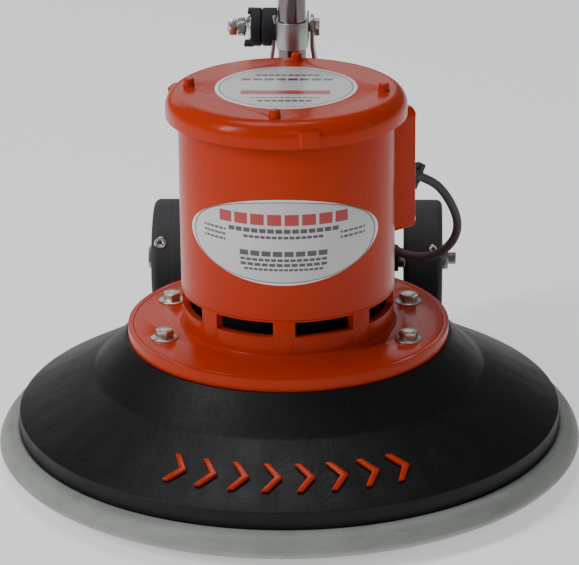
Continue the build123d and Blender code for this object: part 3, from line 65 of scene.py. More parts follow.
# ---------------------------------------------------------------- shader maths
class Level:
    """A number that varies over a surface; arithmetic on it adds Math nodes."""

    def __init__(self, recipe: "Recipe", socket: bpy.types.NodeSocket) -> None:
        """Wrap one output socket of a recipe's tree."""
        self.recipe = recipe
        self.socket = socket

    def math(self, operation: str, *values: "Level | float") -> "Level":
        """The result of one Math node.

        Args:
            operation: the node's operation.
            values: what it works on, in the order of its sockets.

        Returns:
            The node's output.
        """
        node = self.recipe.node("ShaderNodeMath", {"operation": operation}, dict(enumerate(values)))
        return Level(self.recipe, node.outputs[0])

    def __add__(self, other: "Level | float") -> "Level":
        """Sum."""
        return self.math("ADD", self, other)

    __radd__ = __add__

    def __sub__(self, other: "Level | float") -> "Level":
        """Difference."""
        return self.math("SUBTRACT", self, other)

    def __rsub__(self, other: float) -> "Level":
        """Difference from a plain number."""
        return self.math("SUBTRACT", other, self)

    def __mul__(self, other: "Level | float") -> "Level":
        """Product."""
        return self.math("MULTIPLY", self, other)

    __rmul__ = __mul__

    def __truediv__(self, other: "Level | float") -> "Level":
        """Quotient."""
        return self.math("DIVIDE", self, other)

    def above(self, edge: "Level | float", soft: float = 0.01) -> "Level":
        """A step in this value.

        Args:
            edge: where the step is.
            soft: how wide the step is.

        Returns:
            One above the edge, nought below it, and a ramp between.
        """
        ramp = (self - edge) / soft + 0.5
        node = self.recipe.node("ShaderNodeClamp", {}, {0: ramp, 1: 0.0, 2: 1.0})
        return Level(self.recipe, node.outputs[0])

    def within(self, low: float, high: float, soft: float = 0.0003) -> "Level":
        """One between two edges, nought outside them."""
        return self.above(low, soft) * (1 - self.above(high, soft))

    def size(self) -> "Level":
        """The absolute value."""
        return self.math("ABSOLUTE", self)

    def root(self) -> "Level":
        """The square root."""
        return self.math("SQRT", self)

    def part(self) -> "Level":
        """What is left after the whole number is taken away."""
        return self.math("FRACT", self)


class Recipe:
    """The node tree of one material."""

    def __init__(self, name: str) -> None:
        """Start a material with a Principled shader.

        Args:
            name: the material's name.
        """
        self.material = bpy.data.materials.new(name)
        self.material.use_nodes = True
        self.tree = self.material.node_tree
        self.tree.nodes.clear()
        self.shader = self.node("ShaderNodeBsdfPrincipled", {}, {})
        self.node("ShaderNodeOutputMaterial", {}, {"Surface": self.shader.outputs[0]})
        self.place = self.node("ShaderNodeTexCoord", {}, {}).outputs["Object"]

    def node(self, kind: str, settings: dict, inputs: dict) -> bpy.types.Node:
        """Add a node.

        Args:
            kind: the node's type name.
            settings: its properties, which are set before its sockets.
            inputs: values or links of its sockets, by name or number.

        Returns:
            The new node.
        """
        node = self.tree.nodes.new(kind)
        for key, value in settings.items():
            setattr(node, key, value)
        for key, value in inputs.items():
            source = value.socket if isinstance(value, Level) else value
            if isinstance(source, bpy.types.NodeSocket):
                self.tree.links.new(source, node.inputs[key])
            else:
                node.inputs[key].default_value = source
        return node

    def axes(self) -> tuple[Level, Level, Level]:
        """The three object coordinates.

        Returns:
            X, Y and Z in metres.
        """
        node = self.node("ShaderNodeSeparateXYZ", {}, {0: self.place})
        x, y, z = (Level(self, output) for output in node.outputs)
        return x, y, z

    def noise(self, scale: float, detail: float = 3.0, rough: float = 0.55, stretch: Point = (1, 1, 1)) -> Level:
        """Cloudy noise.

        Args:
            scale: how many clouds there are in a metre.
            detail: how many finer octaves it has.
            rough: how strong the finer octaves are.
            stretch: the scale along each axis, less than 1 where the clouds are drawn out.

        Returns:
            A level from 0 to 1.
        """
        mapping = self.node("ShaderNodeMapping", {}, {"Vector": self.place, "Scale": stretch})
        inputs = {"Vector": mapping.outputs[0], "Scale": scale, "Detail": detail, "Roughness": rough}
        return Level(self, self.node("ShaderNodeTexNoise", {}, inputs).outputs[0])

    def cells(self, scale: float) -> Level:
        """Distance to the nearest of many scattered points."""
        node = self.node("ShaderNodeTexVoronoi", {"feature": "F1"}, {"Vector": self.place, "Scale": scale})
        return Level(self, node.outputs["Distance"])

    def mix(self, factor: Level, low: object, high: object) -> bpy.types.NodeSocket:
        """A colour between two others.

        Args:
            factor: how much of the second colour there is, from 0 to 1.
            low: the first colour, or the socket that carries it.
            high: the second colour, or the socket that carries it.

        Returns:
            The socket of the mixed colour.
        """
        inputs = {0: factor}
        for key, value in ((6, low), (7, high)):
            inputs[key] = (*value, 1.0) if isinstance(value, tuple) else value
        settings = {"data_type": "RGBA", "clamp_factor": True}
        return self.node("ShaderNodeMix", settings, inputs).outputs[2]

    def bump(self, height: Level, distance: float, strength: float = 1.0) -> None:
        """Raise the surface.

        Args:
            height: how high each point is, as a level.
            distance: the height in metres at a level of 1.
            strength: how much of the bump shows, from 0 to 1.
        """
        inputs = {"Height": height, "Distance": distance, "Strength": strength}
        normal = self.node("ShaderNodeBump", {}, inputs).outputs[0]
        self.tree.links.new(normal, self.shader.inputs["Normal"])

    def feed(self, **values: object) -> bpy.types.Material:
        """Set or link the shader's sockets.

        Args:
            values: numbers, colours, levels or sockets, by socket name with _ for a space.

        Returns:
            The finished material.
        """
        for key, value in values.items():
            socket = self.shader.inputs[key.replace("_", " ")]
            source = value.socket if isinstance(value, Level) else value
            if isinstance(source, bpy.types.NodeSocket):
                self.tree.links.new(source, socket)
            elif isinstance(source, tuple):
                socket.default_value = (*source, 1.0)
            else:
                socket.default_value = source
        return self.material


# ---------------------------------------------------------------- finishes
class Finish(ABC):
    """A surface finish, which makes its material once."""

    name: str

    @abstractmethod
    def paint(self, recipe: Recipe) -> bpy.types.Material:
        """Fill a recipe and give back its material."""

    def material(self) -> bpy.types.Material:
        """The finish's material, made on its first use."""
        return bpy.data.materials.get(self.name) or self.paint(Recipe(self.name))


@dataclass(frozen=True)
class Enamel(Finish):
    """Sprayed gloss enamel with slight sag, orange peel and small nicks."""

    name: str
    colour: Colour
    deep: Colour
    roughness: float = 0.2

    def paint(self, recipe: Recipe) -> bpy.types.Material:
        """Two tones of the paint, fine orange peel and a few dull spots.

        Args:
            recipe: the new material's node tree.

        Returns:
            The finished material.
        """
        cloud = recipe.noise(9.0, 3.0)
        peel = recipe.noise(420.0, 2.0)
        sag = recipe.noise(34.0, 2.0, stretch=(1, 1, 0.4))
        nicks = recipe.noise(150.0, 4.0, 0.7).above(0.735, 0.02)
        tone = recipe.mix(cloud, self.deep, self.colour)
        worn = recipe.mix(nicks * 0.75, tone, (0.09, 0.03, 0.02))
        recipe.bump(peel * 0.25 + sag - nicks * 0.3, 0.00032)
        rough = self.roughness + 0.1 * recipe.noise(22.0, 4.0) + nicks * 0.3
        return recipe.feed(
            Base_Color=worn, Roughness=rough, Specular_IOR_Level=0.14, Coat_Weight=0.06, Coat_Roughness=0.07
        )


@dataclass(frozen=True)
class CastPaint(Finish):
    """Satin black paint on a rough casting."""

    name: str
    colour: Colour = (0.003, 0.003, 0.0033)
    dusty: Colour = (0.009, 0.009, 0.0095)

    def paint(self, recipe: Recipe) -> bpy.types.Material:
        """Pitted grain, a dusty bloom and pale specks.

        Args:
            recipe: the new material's node tree.

        Returns:
            The finished material.
        """
        grain = recipe.noise(230.0, 5.0, 0.6)
        waves = recipe.noise(26.0, 3.0)
        dust = recipe.noise(60.0, 6.0, 0.68).above(0.56, 0.25)
        specks = recipe.noise(700.0, 2.0, 0.5).above(0.70, 0.05)
        tone = recipe.mix(dust * 0.45, self.colour, self.dusty)
        speckled = recipe.mix(specks * 0.2, tone, (0.08, 0.08, 0.08))
        recipe.bump(grain * 0.55 + waves * 0.4, 0.0005)
        rough = 0.36 + 0.2 * recipe.noise(48.0, 4.0)
        return recipe.feed(Base_Color=speckled, Roughness=rough, Specular_IOR_Level=0.3)


@dataclass(frozen=True)
class Rubber(Finish):
    """Moulded rubber with a fine skin and scuffs."""

    name: str
    colour: Colour
    scuff: Colour
    roughness: float = 0.55
    marks: float = 0.3
    grain: float = 320.0

    def paint(self, recipe: Recipe) -> bpy.types.Material:
        """A mottled skin with rubbed patches.

        Args:
            recipe: the new material's node tree.

        Returns:
            The finished material.
        """
        skin = recipe.noise(self.grain, 4.0, 0.6)
        rubbed = recipe.noise(28.0, 5.0, 0.7, stretch=(1, 1, 3)).above(0.55, 0.2)
        tone = recipe.mix(rubbed * self.marks, self.colour, self.scuff)
        recipe.bump(skin, 0.0002)
        rough = self.roughness + 0.14 * recipe.noise(70.0, 4.0)
        return recipe.feed(Base_Color=tone, Roughness=rough, Specular_IOR_Level=0.4)


@dataclass(frozen=True)
class Moulded(Finish):
    """Moulded plastic with a light spark-eroded grain."""

    name: str
    colour: Colour
    roughness: float = 0.4
    grain: float = 900.0
    depth: float = 0.00012

    def paint(self, recipe: Recipe) -> bpy.types.Material:
        """Even colour with flow clouds, grain and handling marks.

        Args:
            recipe: the new material's node tree.

        Returns:
            The finished material.
        """
        cloud = recipe.noise(30.0, 3.0)
        light = tuple(min(1.0, 1.5 * part + 0.008) for part in self.colour)
        scratch = recipe.noise(210.0, 5.0, 0.75, stretch=(1, 4, 0.3)).above(0.63, 0.05)
        tone = recipe.mix(cloud * 0.5 + scratch * 0.35, self.colour, light)
        recipe.bump(recipe.noise(self.grain, 2.0), self.depth)
        return recipe.feed(Base_Color=tone, Roughness=self.roughness + 0.12 * cloud + scratch * 0.1)


class Grain(Enum):
    """Which way a metal's drawing or turning marks run."""

    NONE = (1.0, 1.0, 1.0)
    UPRIGHT = (1.0, 1.0, 0.03)
    LEVEL = (1.0, 1.0, 26.0)


@dataclass(frozen=True)
class Metal(Finish):
    """Bare or plated metal with smudges and, where it has them, drawing marks."""

    name: str
    colour: Colour
    tint: Colour
    roughness: float = 0.25
    grain: Grain = Grain.NONE
    grit: float = 900.0
    tarnish: float = 0.4

    def paint(self, recipe: Recipe) -> bpy.types.Material:
        """Plating colour that drifts, smudged gloss and fine marks.

        Args:
            recipe: the new material's node tree.

        Returns:
            The finished material.
        """
        drift = recipe.noise(65.0, 3.0)
        marks = recipe.noise(self.grit, 3.0, 0.6, stretch=self.grain.value)
        spots = recipe.noise(260.0, 5.0, 0.7).above(0.62, 0.08)
        tone = recipe.mix(drift * self.tarnish + spots * 0.25, self.colour, self.tint)
        recipe.bump(marks, 0.00006)
        rough = self.roughness + 0.14 * recipe.noise(120.0, 4.0) + spots * 0.12
        return recipe.feed(Base_Color=tone, Metallic=1.0, Roughness=rough)


@dataclass(frozen=True)
class Fibre(Finish):
    """Open nonwoven pad fibre bound with resin."""

    name: str
    colour: Colour = (0.075, 0.012, 0.012)
    bright: Colour = (0.23, 0.045, 0.035)

    def paint(self, recipe: Recipe) -> bpy.types.Material:
        """Three crossing sets of stretched strands over dark holes.

        Args:
            recipe: the new material's node tree.

        Returns:
            The finished material.
        """
        strands = [
            recipe.noise(520.0, 3.0, 0.6, stretch=stretch)
            for stretch in ((1, 0.16, 1), (0.16, 1, 1), (0.7, 0.7, 0.3))
        ]
        weave = (strands[0] - 0.5).size() + (strands[1] - 0.5).size() * 0.8 + (strands[2] - 0.5).size() * 0.5
        ridge = 1 - weave * 5
        holes = recipe.cells(260.0).above(0.62, 0.2)
        tone = recipe.mix(ridge, self.colour, self.bright)
        shaded = recipe.mix(holes * 0.7, tone, (0.012, 0.003, 0.003))
        recipe.bump(ridge - holes * 0.8, 0.0011)
        return recipe.feed(Base_Color=shaded, Roughness=0.92, Specular_IOR_Level=0.15, Sheen_Weight=0.2)


class Layout(Enum):
    """Which label the print is laid out for."""

    OVAL = "oval"
    ROUND = "round"


@dataclass(frozen=True)
class PrintRow:
    """One row of a label: a plain bar, or dashes when a dash length is given.

    level is its height above the label's middle, half is half its width, aside is how far its
    middle is to the right, and an accent row is in the label's second colour.
    """

    level: float
    height: float
    half: float
    dash: float = 0.0
    aside: float = 0.0
    accent: bool = False


@dataclass(frozen=True)
class LabelPrint(Finish):
    """A plain printed label: coloured bars and dashes, with no lettering."""

    name: str
    layout: Layout
    centre: Point
    half_width: float
    half_height: float
    paper: Colour = (0.72, 0.72, 0.74)
    ink: Colour = (0.05, 0.05, 0.055)
    accent: Colour = (0.5, 0.016, 0.014)
    border: Colour = (0.93, 0.93, 0.93)
    line_start: float = 0.925
    line_end: float = 0.948
    dash_gap: float = 0.18

    def paint(self, recipe: Recipe) -> bpy.types.Material:
        """Border line, bars and dashes on a white film.

        Args:
            recipe: the new material's node tree.

        Returns:
            The finished material.
        """
        x, y, z = recipe.axes()
        if self.layout is Layout.OVAL:
            bearing = x.math("ARCTAN2", x, 0 - y)
            across = bearing * self.centre[1]
            down = z - self.centre[2]
        else:
            across, down = x - self.centre[0], y - self.centre[1]
        sideways, upward = across / self.half_width, down / self.half_height
        rim = (sideways * sideways + upward * upward).root()
        ink = rim.within(self.line_start, self.line_end, 0.006) * 0.8
        margin = rim.above(self.line_end, 0.01)
        accent = rim * 0.0
        for row in self.rows():
            along = across - row.aside
            band = (down - row.level).size()
            bar = (1 - band.above(row.height / 2, 0.0003)) * (1 - along.size().above(row.half, 0.0002))
            if row.dash > 0:
                turns = along / row.dash + 40 + self.dash_gap / 2
                bar = bar * turns.part().above(self.dash_gap, 0.05)
            if row.accent:
                accent = accent + bar
            else:
                ink = ink + bar
        sheet = recipe.mix(recipe.noise(40.0, 3.0), self.paper, tuple(0.93 * part for part in self.paper))
        film = recipe.mix(margin, sheet, self.border)
        inked = recipe.mix(ink * 0.95, film, self.ink)
        printed = recipe.mix(accent * 0.95, inked, self.accent)
        recipe.bump(recipe.noise(90.0, 2.0), 0.00005)
        rough = 0.28 + 0.1 * recipe.noise(60.0, 3.0)
        return recipe.feed(Base_Color=printed, Roughness=rough, Coat_Weight=0.3, Coat_Roughness=0.12)

    def rows(self) -> list[PrintRow]:
        """The bars and dashes of this label.

        Returns:
            Its rows, the middle ones from the top down and those beside them after the third.
        """
        if self.layout is Layout.OVAL:
            return [
                PrintRow(0.0178, 0.0088, 0.0520, 0.0130, accent=True),
                PrintRow(0.0090, 0.0034, 0.0434, 0.0062),
                PrintRow(0.0040, 0.0022, 0.0308, 0.0044),
                PrintRow(0.0070, 0.0018, 0.0105, 0.0042, aside=-0.0560),
                PrintRow(0.0030, 0.0018, 0.0105, 0.0035, aside=-0.0560),
                PrintRow(-0.0010, 0.0018, 0.0105, 0.0042, aside=-0.0560),
                PrintRow(0.0050, 0.0018, 0.0115, 0.0046, aside=0.0560),
                PrintRow(0.0010, 0.0018, 0.0115, 0.0046, aside=0.0560),
                PrintRow(-0.0090, 0.0042, 0.0344, 0.0086),
                PrintRow(-0.0140, 0.0022, 0.0336, 0.0048),
                PrintRow(-0.0178, 0.0024, 0.0336, 0.0056),
                PrintRow(-0.0216, 0.0018, 0.0304, 0.0038),
            ]
        return [
            PrintRow(0.0315, 0.0040, 0.0250, 0.0050),
            PrintRow(0.0200, 0.0055, 0.0360, 0.0090),
            PrintRow(-0.0135, 0.0100, 0.0340, accent=True),
            PrintRow(-0.0270, 0.0022, 0.0264, 0.0044),
            PrintRow(-0.0350, 0.0042, 0.0208, 0.0052),
        ]


ORANGE = Enamel("orange_enamel", (0.60, 0.042, 0.005), (0.47, 0.026, 0.004))
BLACK_CASTING = CastPaint("black_casting")
GREY_BUMPER = Rubber("grey_bumper", (0.31, 0.335, 0.315), (0.19, 0.205, 0.195), 0.5, 0.4)
PAD_FIBRE = Fibre("maroon_fibre")
DRIVER = Moulded("driver_plastic", (0.02, 0.021, 0.024), 0.5, 500.0)
ZINC = Metal("zinc_plate", (0.62, 0.61, 0.57), (0.42, 0.41, 0.35), 0.26)
BRIGHT_ZINC = Metal("bright_zinc", (0.8, 0.8, 0.8), (0.55, 0.55, 0.53), 0.16)
DULL_ZINC = Metal("dull_zinc", (0.36, 0.355, 0.33), (0.2, 0.195, 0.17), 0.24)
BARE_STEEL = Metal("bare_steel", (0.15, 0.142, 0.14), (0.08, 0.072, 0.07), 0.36, Grain.LEVEL, 160.0)
CHROME = Metal("tube_chrome", (0.2, 0.19, 0.187), (0.1, 0.09, 0.086), 0.1, Grain.UPRIGHT, 700.0)
WHEEL = Moulded("wheel_plastic", (0.055, 0.057, 0.060), 0.42, 650.0, 0.0002)
BLACK_PLASTIC = Moulded("black_plastic", (0.012, 0.0125, 0.014), 0.38)
GLAND_PLASTIC = Moulded("gland_plastic", (0.05, 0.047, 0.045), 0.5)
CORD_SHEATH = Rubber("cord_sheath", (0.085, 0.078, 0.075), (0.12, 0.112, 0.108), 0.6, 0.6, 500.0)
CORE_STEEL = Metal("core_steel", (0.3, 0.3, 0.31), (0.16, 0.15, 0.15), 0.45, Grain.LEVEL, 60.0)
COPPER = Metal("copper_wire", (0.62, 0.26, 0.13), (0.35, 0.11, 0.06), 0.35, Grain.LEVEL, 80.0)
CAST_ALUMINIUM = Metal("cast_aluminium", (0.52, 0.52, 0.53), (0.36, 0.36, 0.37), 0.48, Grain.NONE, 260.0)
# Near-black painted shade for the hollow inside the flange's neck.
NECK_PAINTED_SHADE = Moulded("neck_painted_shade", (0.006, 0.006, 0.006), 0.7)
FRAME_BLACK = CastPaint("frame_black", (0.012, 0.012, 0.013), (0.03, 0.03, 0.032))
GRIP_RUBBER = Rubber("grip_rubber", (0.016, 0.016, 0.017), (0.035, 0.035, 0.036), 0.66, 0.5)
RED_BUTTON = Moulded("red_button", (0.42, 0.012, 0.012), 0.3)
FRONT_PRINT = LabelPrint("front_print", Layout.OVAL, (0.0, 0.083, 0.203), 0.084, 0.034)
TOP_PRINT = LabelPrint("top_print", Layout.ROUND, (0.0, 0.0, 0.299), 0.0544, 0.0544)

SLOT_FINISH: dict[str, Finish] = {
    "orange_paint": ORANGE,
    "deck_black": BLACK_CASTING,
    "bumper_rubber": GREY_BUMPER,
    "pad_fibre": PAD_FIBRE,
    "driver_plastic": DRIVER,
    "zinc": ZINC,
    "bare_steel": BARE_STEEL,
    "chrome_tube": CHROME,
    "wheel_plastic": WHEEL,
    "black_plastic": BLACK_PLASTIC,
    "cord_rubber": CORD_SHEATH,
    "label_white": TOP_PRINT,
    "core_steel": CORE_STEEL,
    "copper_wire": COPPER,
    "cast_aluminium": CAST_ALUMINIUM,
    "frame_black": FRAME_BLACK,
    "grip_rubber": GRIP_RUBBER,
    "red_button": RED_BUTTON,
}


# ---------------------------------------------------------------- modelling tools
def aim(origin: Iterable[float], direction: Iterable[float], spin: float = 0.0) -> Matrix:
    """The transform that puts a shape's +Z along a direction at an origin, turned about it by an angle."""
    turn = Vector(direction).to_track_quat("Z", "Y").to_matrix().to_4x4()
    return Matrix.Translation(Vector(origin)) @ turn @ Matrix.Rotation(spin, 4, "Z")


def turned(corners: Sequence[tuple[float, float, float]], steps: int = 96, cuts: int = 4) -> bmesh.types.BMesh:
    """A turned body round the Z axis.

    Args:
        corners: the radius, height and rounding of each corner of its closed profile, in order.
        steps: how many segments a full turn has.
        cuts: how many segments a rounding has.

    Returns:
        The body, with its faces pointing out.
    """
    body = bmesh.new()
    verts = [body.verts.new((radius, 0.0, height)) for radius, height, _ in corners]
    on_axis = [radius < 1e-7 for radius, _, _ in corners]
    edges = []
    for index, vert in enumerate(verts):
        after = (index + 1) % len(verts)
        if not (on_axis[index] and on_axis[after]):
            edges.append(body.edges.new((vert, verts[after])))
    bmesh.ops.spin(
        body, geom=verts + edges, cent=(0, 0, 0), axis=(0, 0, 1), angle=2 * math.pi, steps=steps, use_merge=True
    )
    bmesh.ops.remove_doubles(body, verts=body.verts, dist=1e-6)
    bmesh.ops.recalc_face_normals(body, faces=body.faces)
    for radius, height, rounding in corners:
        if rounding > 0:
            round_ring(body, radius, height, rounding, cuts)
    return body


def round_ring(body: bmesh.types.BMesh, radius: float, height: float, rounding: float, cuts: int) -> None:
    """Round one ring edge of a turned body.

    Args:
        body: the body.
        radius: the ring's radius.
        height: the ring's height.
        rounding: how far the rounding reaches from the edge.
        cuts: how many segments the rounding has.
    """
    ring = [
        edge
        for edge in body.edges
        if all(
            abs(vert.co.z - height) < 1e-6 and abs(vert.co.xy.length - radius) < 1e-6 for vert in edge.verts
        )
    ]
    bevel(body, ring, rounding, cuts)


def bevel(body: bmesh.types.BMesh, edges: Sequence[bmesh.types.BMEdge], width: float, cuts: int = 2) -> None:
    """Round some edges of a body.

    Args:
        body: the body.
        edges: the edges to round.
        width: how far the rounding reaches from the edge.
        cuts: how many segments the rounding has.
    """
    bmesh.ops.bevel(
        body,
        geom=list(edges),
        offset=width,
        offset_type="OFFSET",
        affect="EDGES",
        segments=cuts,
        profile=0.5,
        material=-1,
        clamp_overlap=True,
    )


def sharp_edges(body: bmesh.types.BMesh, angle: float = 0.5) -> list[bmesh.types.BMEdge]:
    """The edges that turn by more than an angle, in radians."""
    return [edge for edge in body.edges if len(edge.link_faces) == 2 and edge.calc_face_angle() > angle]


def hexagon(across: float, height: float) -> bmesh.types.BMesh:
    """A hexagon head or nut that stands on Z = 0, with its upper corners cut away.

    Args:
        across: its width across the flats.
        height: its height.

    Returns:
        The body.
    """
    body = bmesh.new()
    corner = across / math.sqrt(3)
    bmesh.ops.create_cone(
        body, cap_ends=True, segments=6, radius1=corner, radius2=corner, depth=height,
        matrix=Matrix.Translation((0, 0, height / 2)),
    )
    for index in range(12):
        angle = math.pi / 6 * index
        out = Vector((math.cos(angle), math.sin(angle), 0))
        cut = bmesh.ops.bisect_plane(
            body,
            geom=body.verts[:] + body.edges[:] + body.faces[:],
            plane_co=out * across * 0.475 + Vector((0, 0, height)),
            plane_no=out * 0.5 + Vector((0, 0, 0.87)),
            clear_outer=True,
        )
        loop = [item for item in cut["geom_cut"] if isinstance(item, bmesh.types.BMEdge)]
        if loop:
            bmesh.ops.edgeloop_fill(body, edges=loop)
    bmesh.ops.recalc_face_normals(body, faces=body.faces)
    bevel(body, sharp_edges(body, 0.6), 0.0002, 2)
    return body


def block(size: Iterable[float], rounding: float, cuts: int = 3) -> bmesh.types.BMesh:
    """A box centred on the origin with rounded edges.

    Args:
        size: its length along X, Y and Z.
        rounding: how far the rounding reaches from each edge.
        cuts: how many segments a rounding has.

    Returns:
        The body.
    """
    body = bmesh.new()
    bmesh.ops.create_cube(body, size=1.0, matrix=Matrix.Diagonal((*size, 1.0)))
    bevel(body, body.edges[:], rounding, cuts)
    return body


def cad_copy(node: str, rounding: float = 0.0, cuts: int = 2, angle: float = 0.55) -> bmesh.types.BMesh:
    """A merged copy of a CAD node's mesh with its sharp edges rounded.

    Args:
        node: the node's name.
        rounding: how far the rounding reaches from each edge, or nought for none.
        cuts: how many segments a rounding has.
        angle: edges that turn by more than this, in radians, are rounded.

    Returns:
        The copy.
    """
    body = bmesh.new()
    body.from_mesh(frame["nodes"][node].data)
    bmesh.ops.remove_doubles(body, verts=body.verts, dist=1e-5)
    bmesh.ops.dissolve_degenerate(body, dist=1e-5, edges=body.edges)
    bmesh.ops.dissolve_limit(
        body, angle_limit=0.01, use_dissolve_boundaries=False, verts=body.verts, edges=body.edges, delimit=set()
    )
    if rounding > 0:
        bevel(body, sharp_edges(body, angle), rounding, cuts)
    return body


class Workpiece:
    """One piece being made: shapes are added to it, then it is finished."""

    def __init__(self, name: str) -> None:
        """Start an empty piece."""
        self.name = name
        self.body = bmesh.new()

    def add(self, shape: bmesh.types.BMesh, place: Matrix = Matrix.Identity(4)) -> "Workpiece":
        """Add a shape.

        Args:
            shape: the shape, which is used up.
            place: where it goes.

        Returns:
            This piece.
        """
        bmesh.ops.transform(shape, matrix=place, verts=shape.verts)
        if place.determinant() < 0:
            bmesh.ops.recalc_face_normals(shape, faces=shape.faces)
        data = bpy.data.meshes.new("shape")
        shape.to_mesh(data)
        shape.free()
        self.body.from_mesh(data)
        bpy.data.meshes.remove(data)
        return self

    def finish(
        self, finish: Finish, body: str, slot: str, replaces: Sequence[str] = (), crease: float = 35.0
    ) -> bpy.types.Object:
        """Make the object.

        Args:
            finish: its surface.
            body: the CAD body that it rides on.
            slot: the record's material slot, which is not used.
            replaces: the CAD nodes that it stands for.
            crease: edges that turn by more than this, in degrees, stay sharp.

        Returns:
            The object, in place.
        """
        data = bpy.data.meshes.new(self.name)
        self.body.to_mesh(data)
        self.body.free()
        data.shade_smooth()
        data.set_sharp_from_angle(angle=math.radians(crease))
        data.materials.append(finish.material())
        piece = bpy.data.objects.new(self.name, data)
        bpy.context.scene.collection.objects.link(piece)
        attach(piece, body)
        if replaces:
            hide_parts(*replaces)
        log.info("%s: %d faces on %s", self.name, len(data.polygons), body)
        return piece


# ---------------------------------------------------------------- camera, light and floor
@dataclass
class Studio:
    """The camera, the lamps and the pale floor."""

    distance: float = 2.203
    height: float = 0.970
    azimuth: float = 2.3
    pitch: float = 20.64
    roll: float = 0.56
    lens: float = 187.9
    shift: float = 0.0026
    floor_size: float = 24.0
    floor_glow: float = 0.5
    room_light: float = 0.13
    aim_height: float = 0.18

    def build(self) -> None:
        """Set up the camera, the lamps, the world and the floor."""
        self._camera()
        self._floor()
        self._world()
        self._lamp("key", (-2.3, -1.4, 1.9), (0.6, 1.6), 44.0)
        self._lamp("side", (2.6, -0.3, 1.2), (0.3, 1.8), 1.5)
        self._lamp("front", (0.3, -2.6, 2.4), (0.9, 0.6), 3.5)
        self._lamp("top", (-0.3, 0.5, 2.8), (1.6, 1.0), 28.0)
        self._lamp("back", (-0.9, 3.6, 1.7), (3.6, 1.5), 16.0)

    def _camera(self) -> None:
        """Put the camera in front of the machine, looking down at it."""
        azimuth, pitch, roll = (math.radians(angle) for angle in (self.azimuth, self.pitch, self.roll))
        place = Vector((self.distance * math.sin(azimuth), -self.distance * math.cos(azimuth), self.height))
        level = Vector((-math.sin(azimuth), math.cos(azimuth), 0))
        forward = level * math.cos(pitch) - Vector((0, 0, math.sin(pitch)))
        right = Vector((math.cos(azimuth), math.sin(azimuth), 0))
        up = right.cross(forward)
        up, right = up * math.cos(roll) + right * math.sin(roll), right * math.cos(roll) - up * math.sin(roll)
        data = bpy.data.cameras.new("camera")
        data.lens = self.lens
        data.sensor_width = 36.0
        data.shift_x = self.shift
        data.clip_end = 60.0
        camera = bpy.data.objects.new("camera", data)
        turn = Matrix((right, up, -forward)).transposed()
        camera.matrix_world = Matrix.Translation(place) @ turn.to_4x4()
        bpy.context.scene.collection.objects.link(camera)
        bpy.context.scene.camera = camera

    def _lamp(self, name: str, place: Point, size: tuple[float, float], power: float) -> None:
        """Add one soft box aimed at the motor.

        Args:
            name: its name.
            place: where it stands.
            size: its width and height.
            power: its power in watts.
        """
        data = bpy.data.lights.new(name, "AREA")
        data.shape = "RECTANGLE"
        data.size, data.size_y = size
        data.energy = power
        lamp = bpy.data.objects.new(name, data)
        aimed = (Vector((0, 0, self.aim_height)) - Vector(place)).to_track_quat("-Z", "Y")
        lamp.matrix_world = Matrix.Translation(place) @ aimed.to_matrix().to_4x4()
        bpy.context.scene.collection.objects.link(lamp)

    def _floor(self) -> None:
        """Add the pale floor."""
        plane = bmesh.new()
        bmesh.ops.create_grid(plane, x_segments=1, y_segments=1, size=self.floor_size / 2)
        bmesh.ops.translate(plane, verts=plane.verts, vec=(0, 0, -0.0005))
        data = bpy.data.meshes.new("floor")
        plane.to_mesh(data)
        plane.free()
        recipe = Recipe("pale_floor")
        tone = recipe.mix(recipe.noise(1.5, 2.0), (0.9, 0.9, 0.9), (0.86, 0.86, 0.86))
        white = (1.0, 1.0, 1.0)
        data.materials.append(
            recipe.feed(Base_Color=tone, Roughness=0.85, Emission_Color=white, Emission_Strength=self.floor_glow)
        )
        floor = bpy.data.objects.new("floor", data)
        bpy.context.scene.collection.objects.link(floor)

    def _world(self) -> None:
        """Give the room an even pale light."""
        world = bpy.data.worlds.new("room")
        world.use_nodes = True
        background = world.node_tree.nodes["Background"]
        background.inputs["Color"].default_value = (1.0, 1.0, 1.0, 1.0)
        background.inputs["Strength"].default_value = self.room_light
        bpy.context.scene.world = world


# ---------------------------------------------------------------- cord and glands
# The route of the lead, as in the CAD, from the terminal box round to the back of the motor.
CORD_ROUTE: list[Point] = [
    (0.098056, 0.057263, 0.209938),
    (0.111891, 0.065908, 0.202331),
    (0.1225, 0.0745, 0.1890),
    (0.1308, 0.0825, 0.1710),
    (0.1337, 0.0900, 0.1560),
    (0.1308, 0.0950, 0.1423),
    (0.1226, 0.0995, 0.1310),
    (0.1104, 0.1037, 0.1240),
    (0.0965, 0.1075, 0.1225),
    (0.0831, 0.1105, 0.1268),
    (0.0727, 0.1120, 0.1362),
]


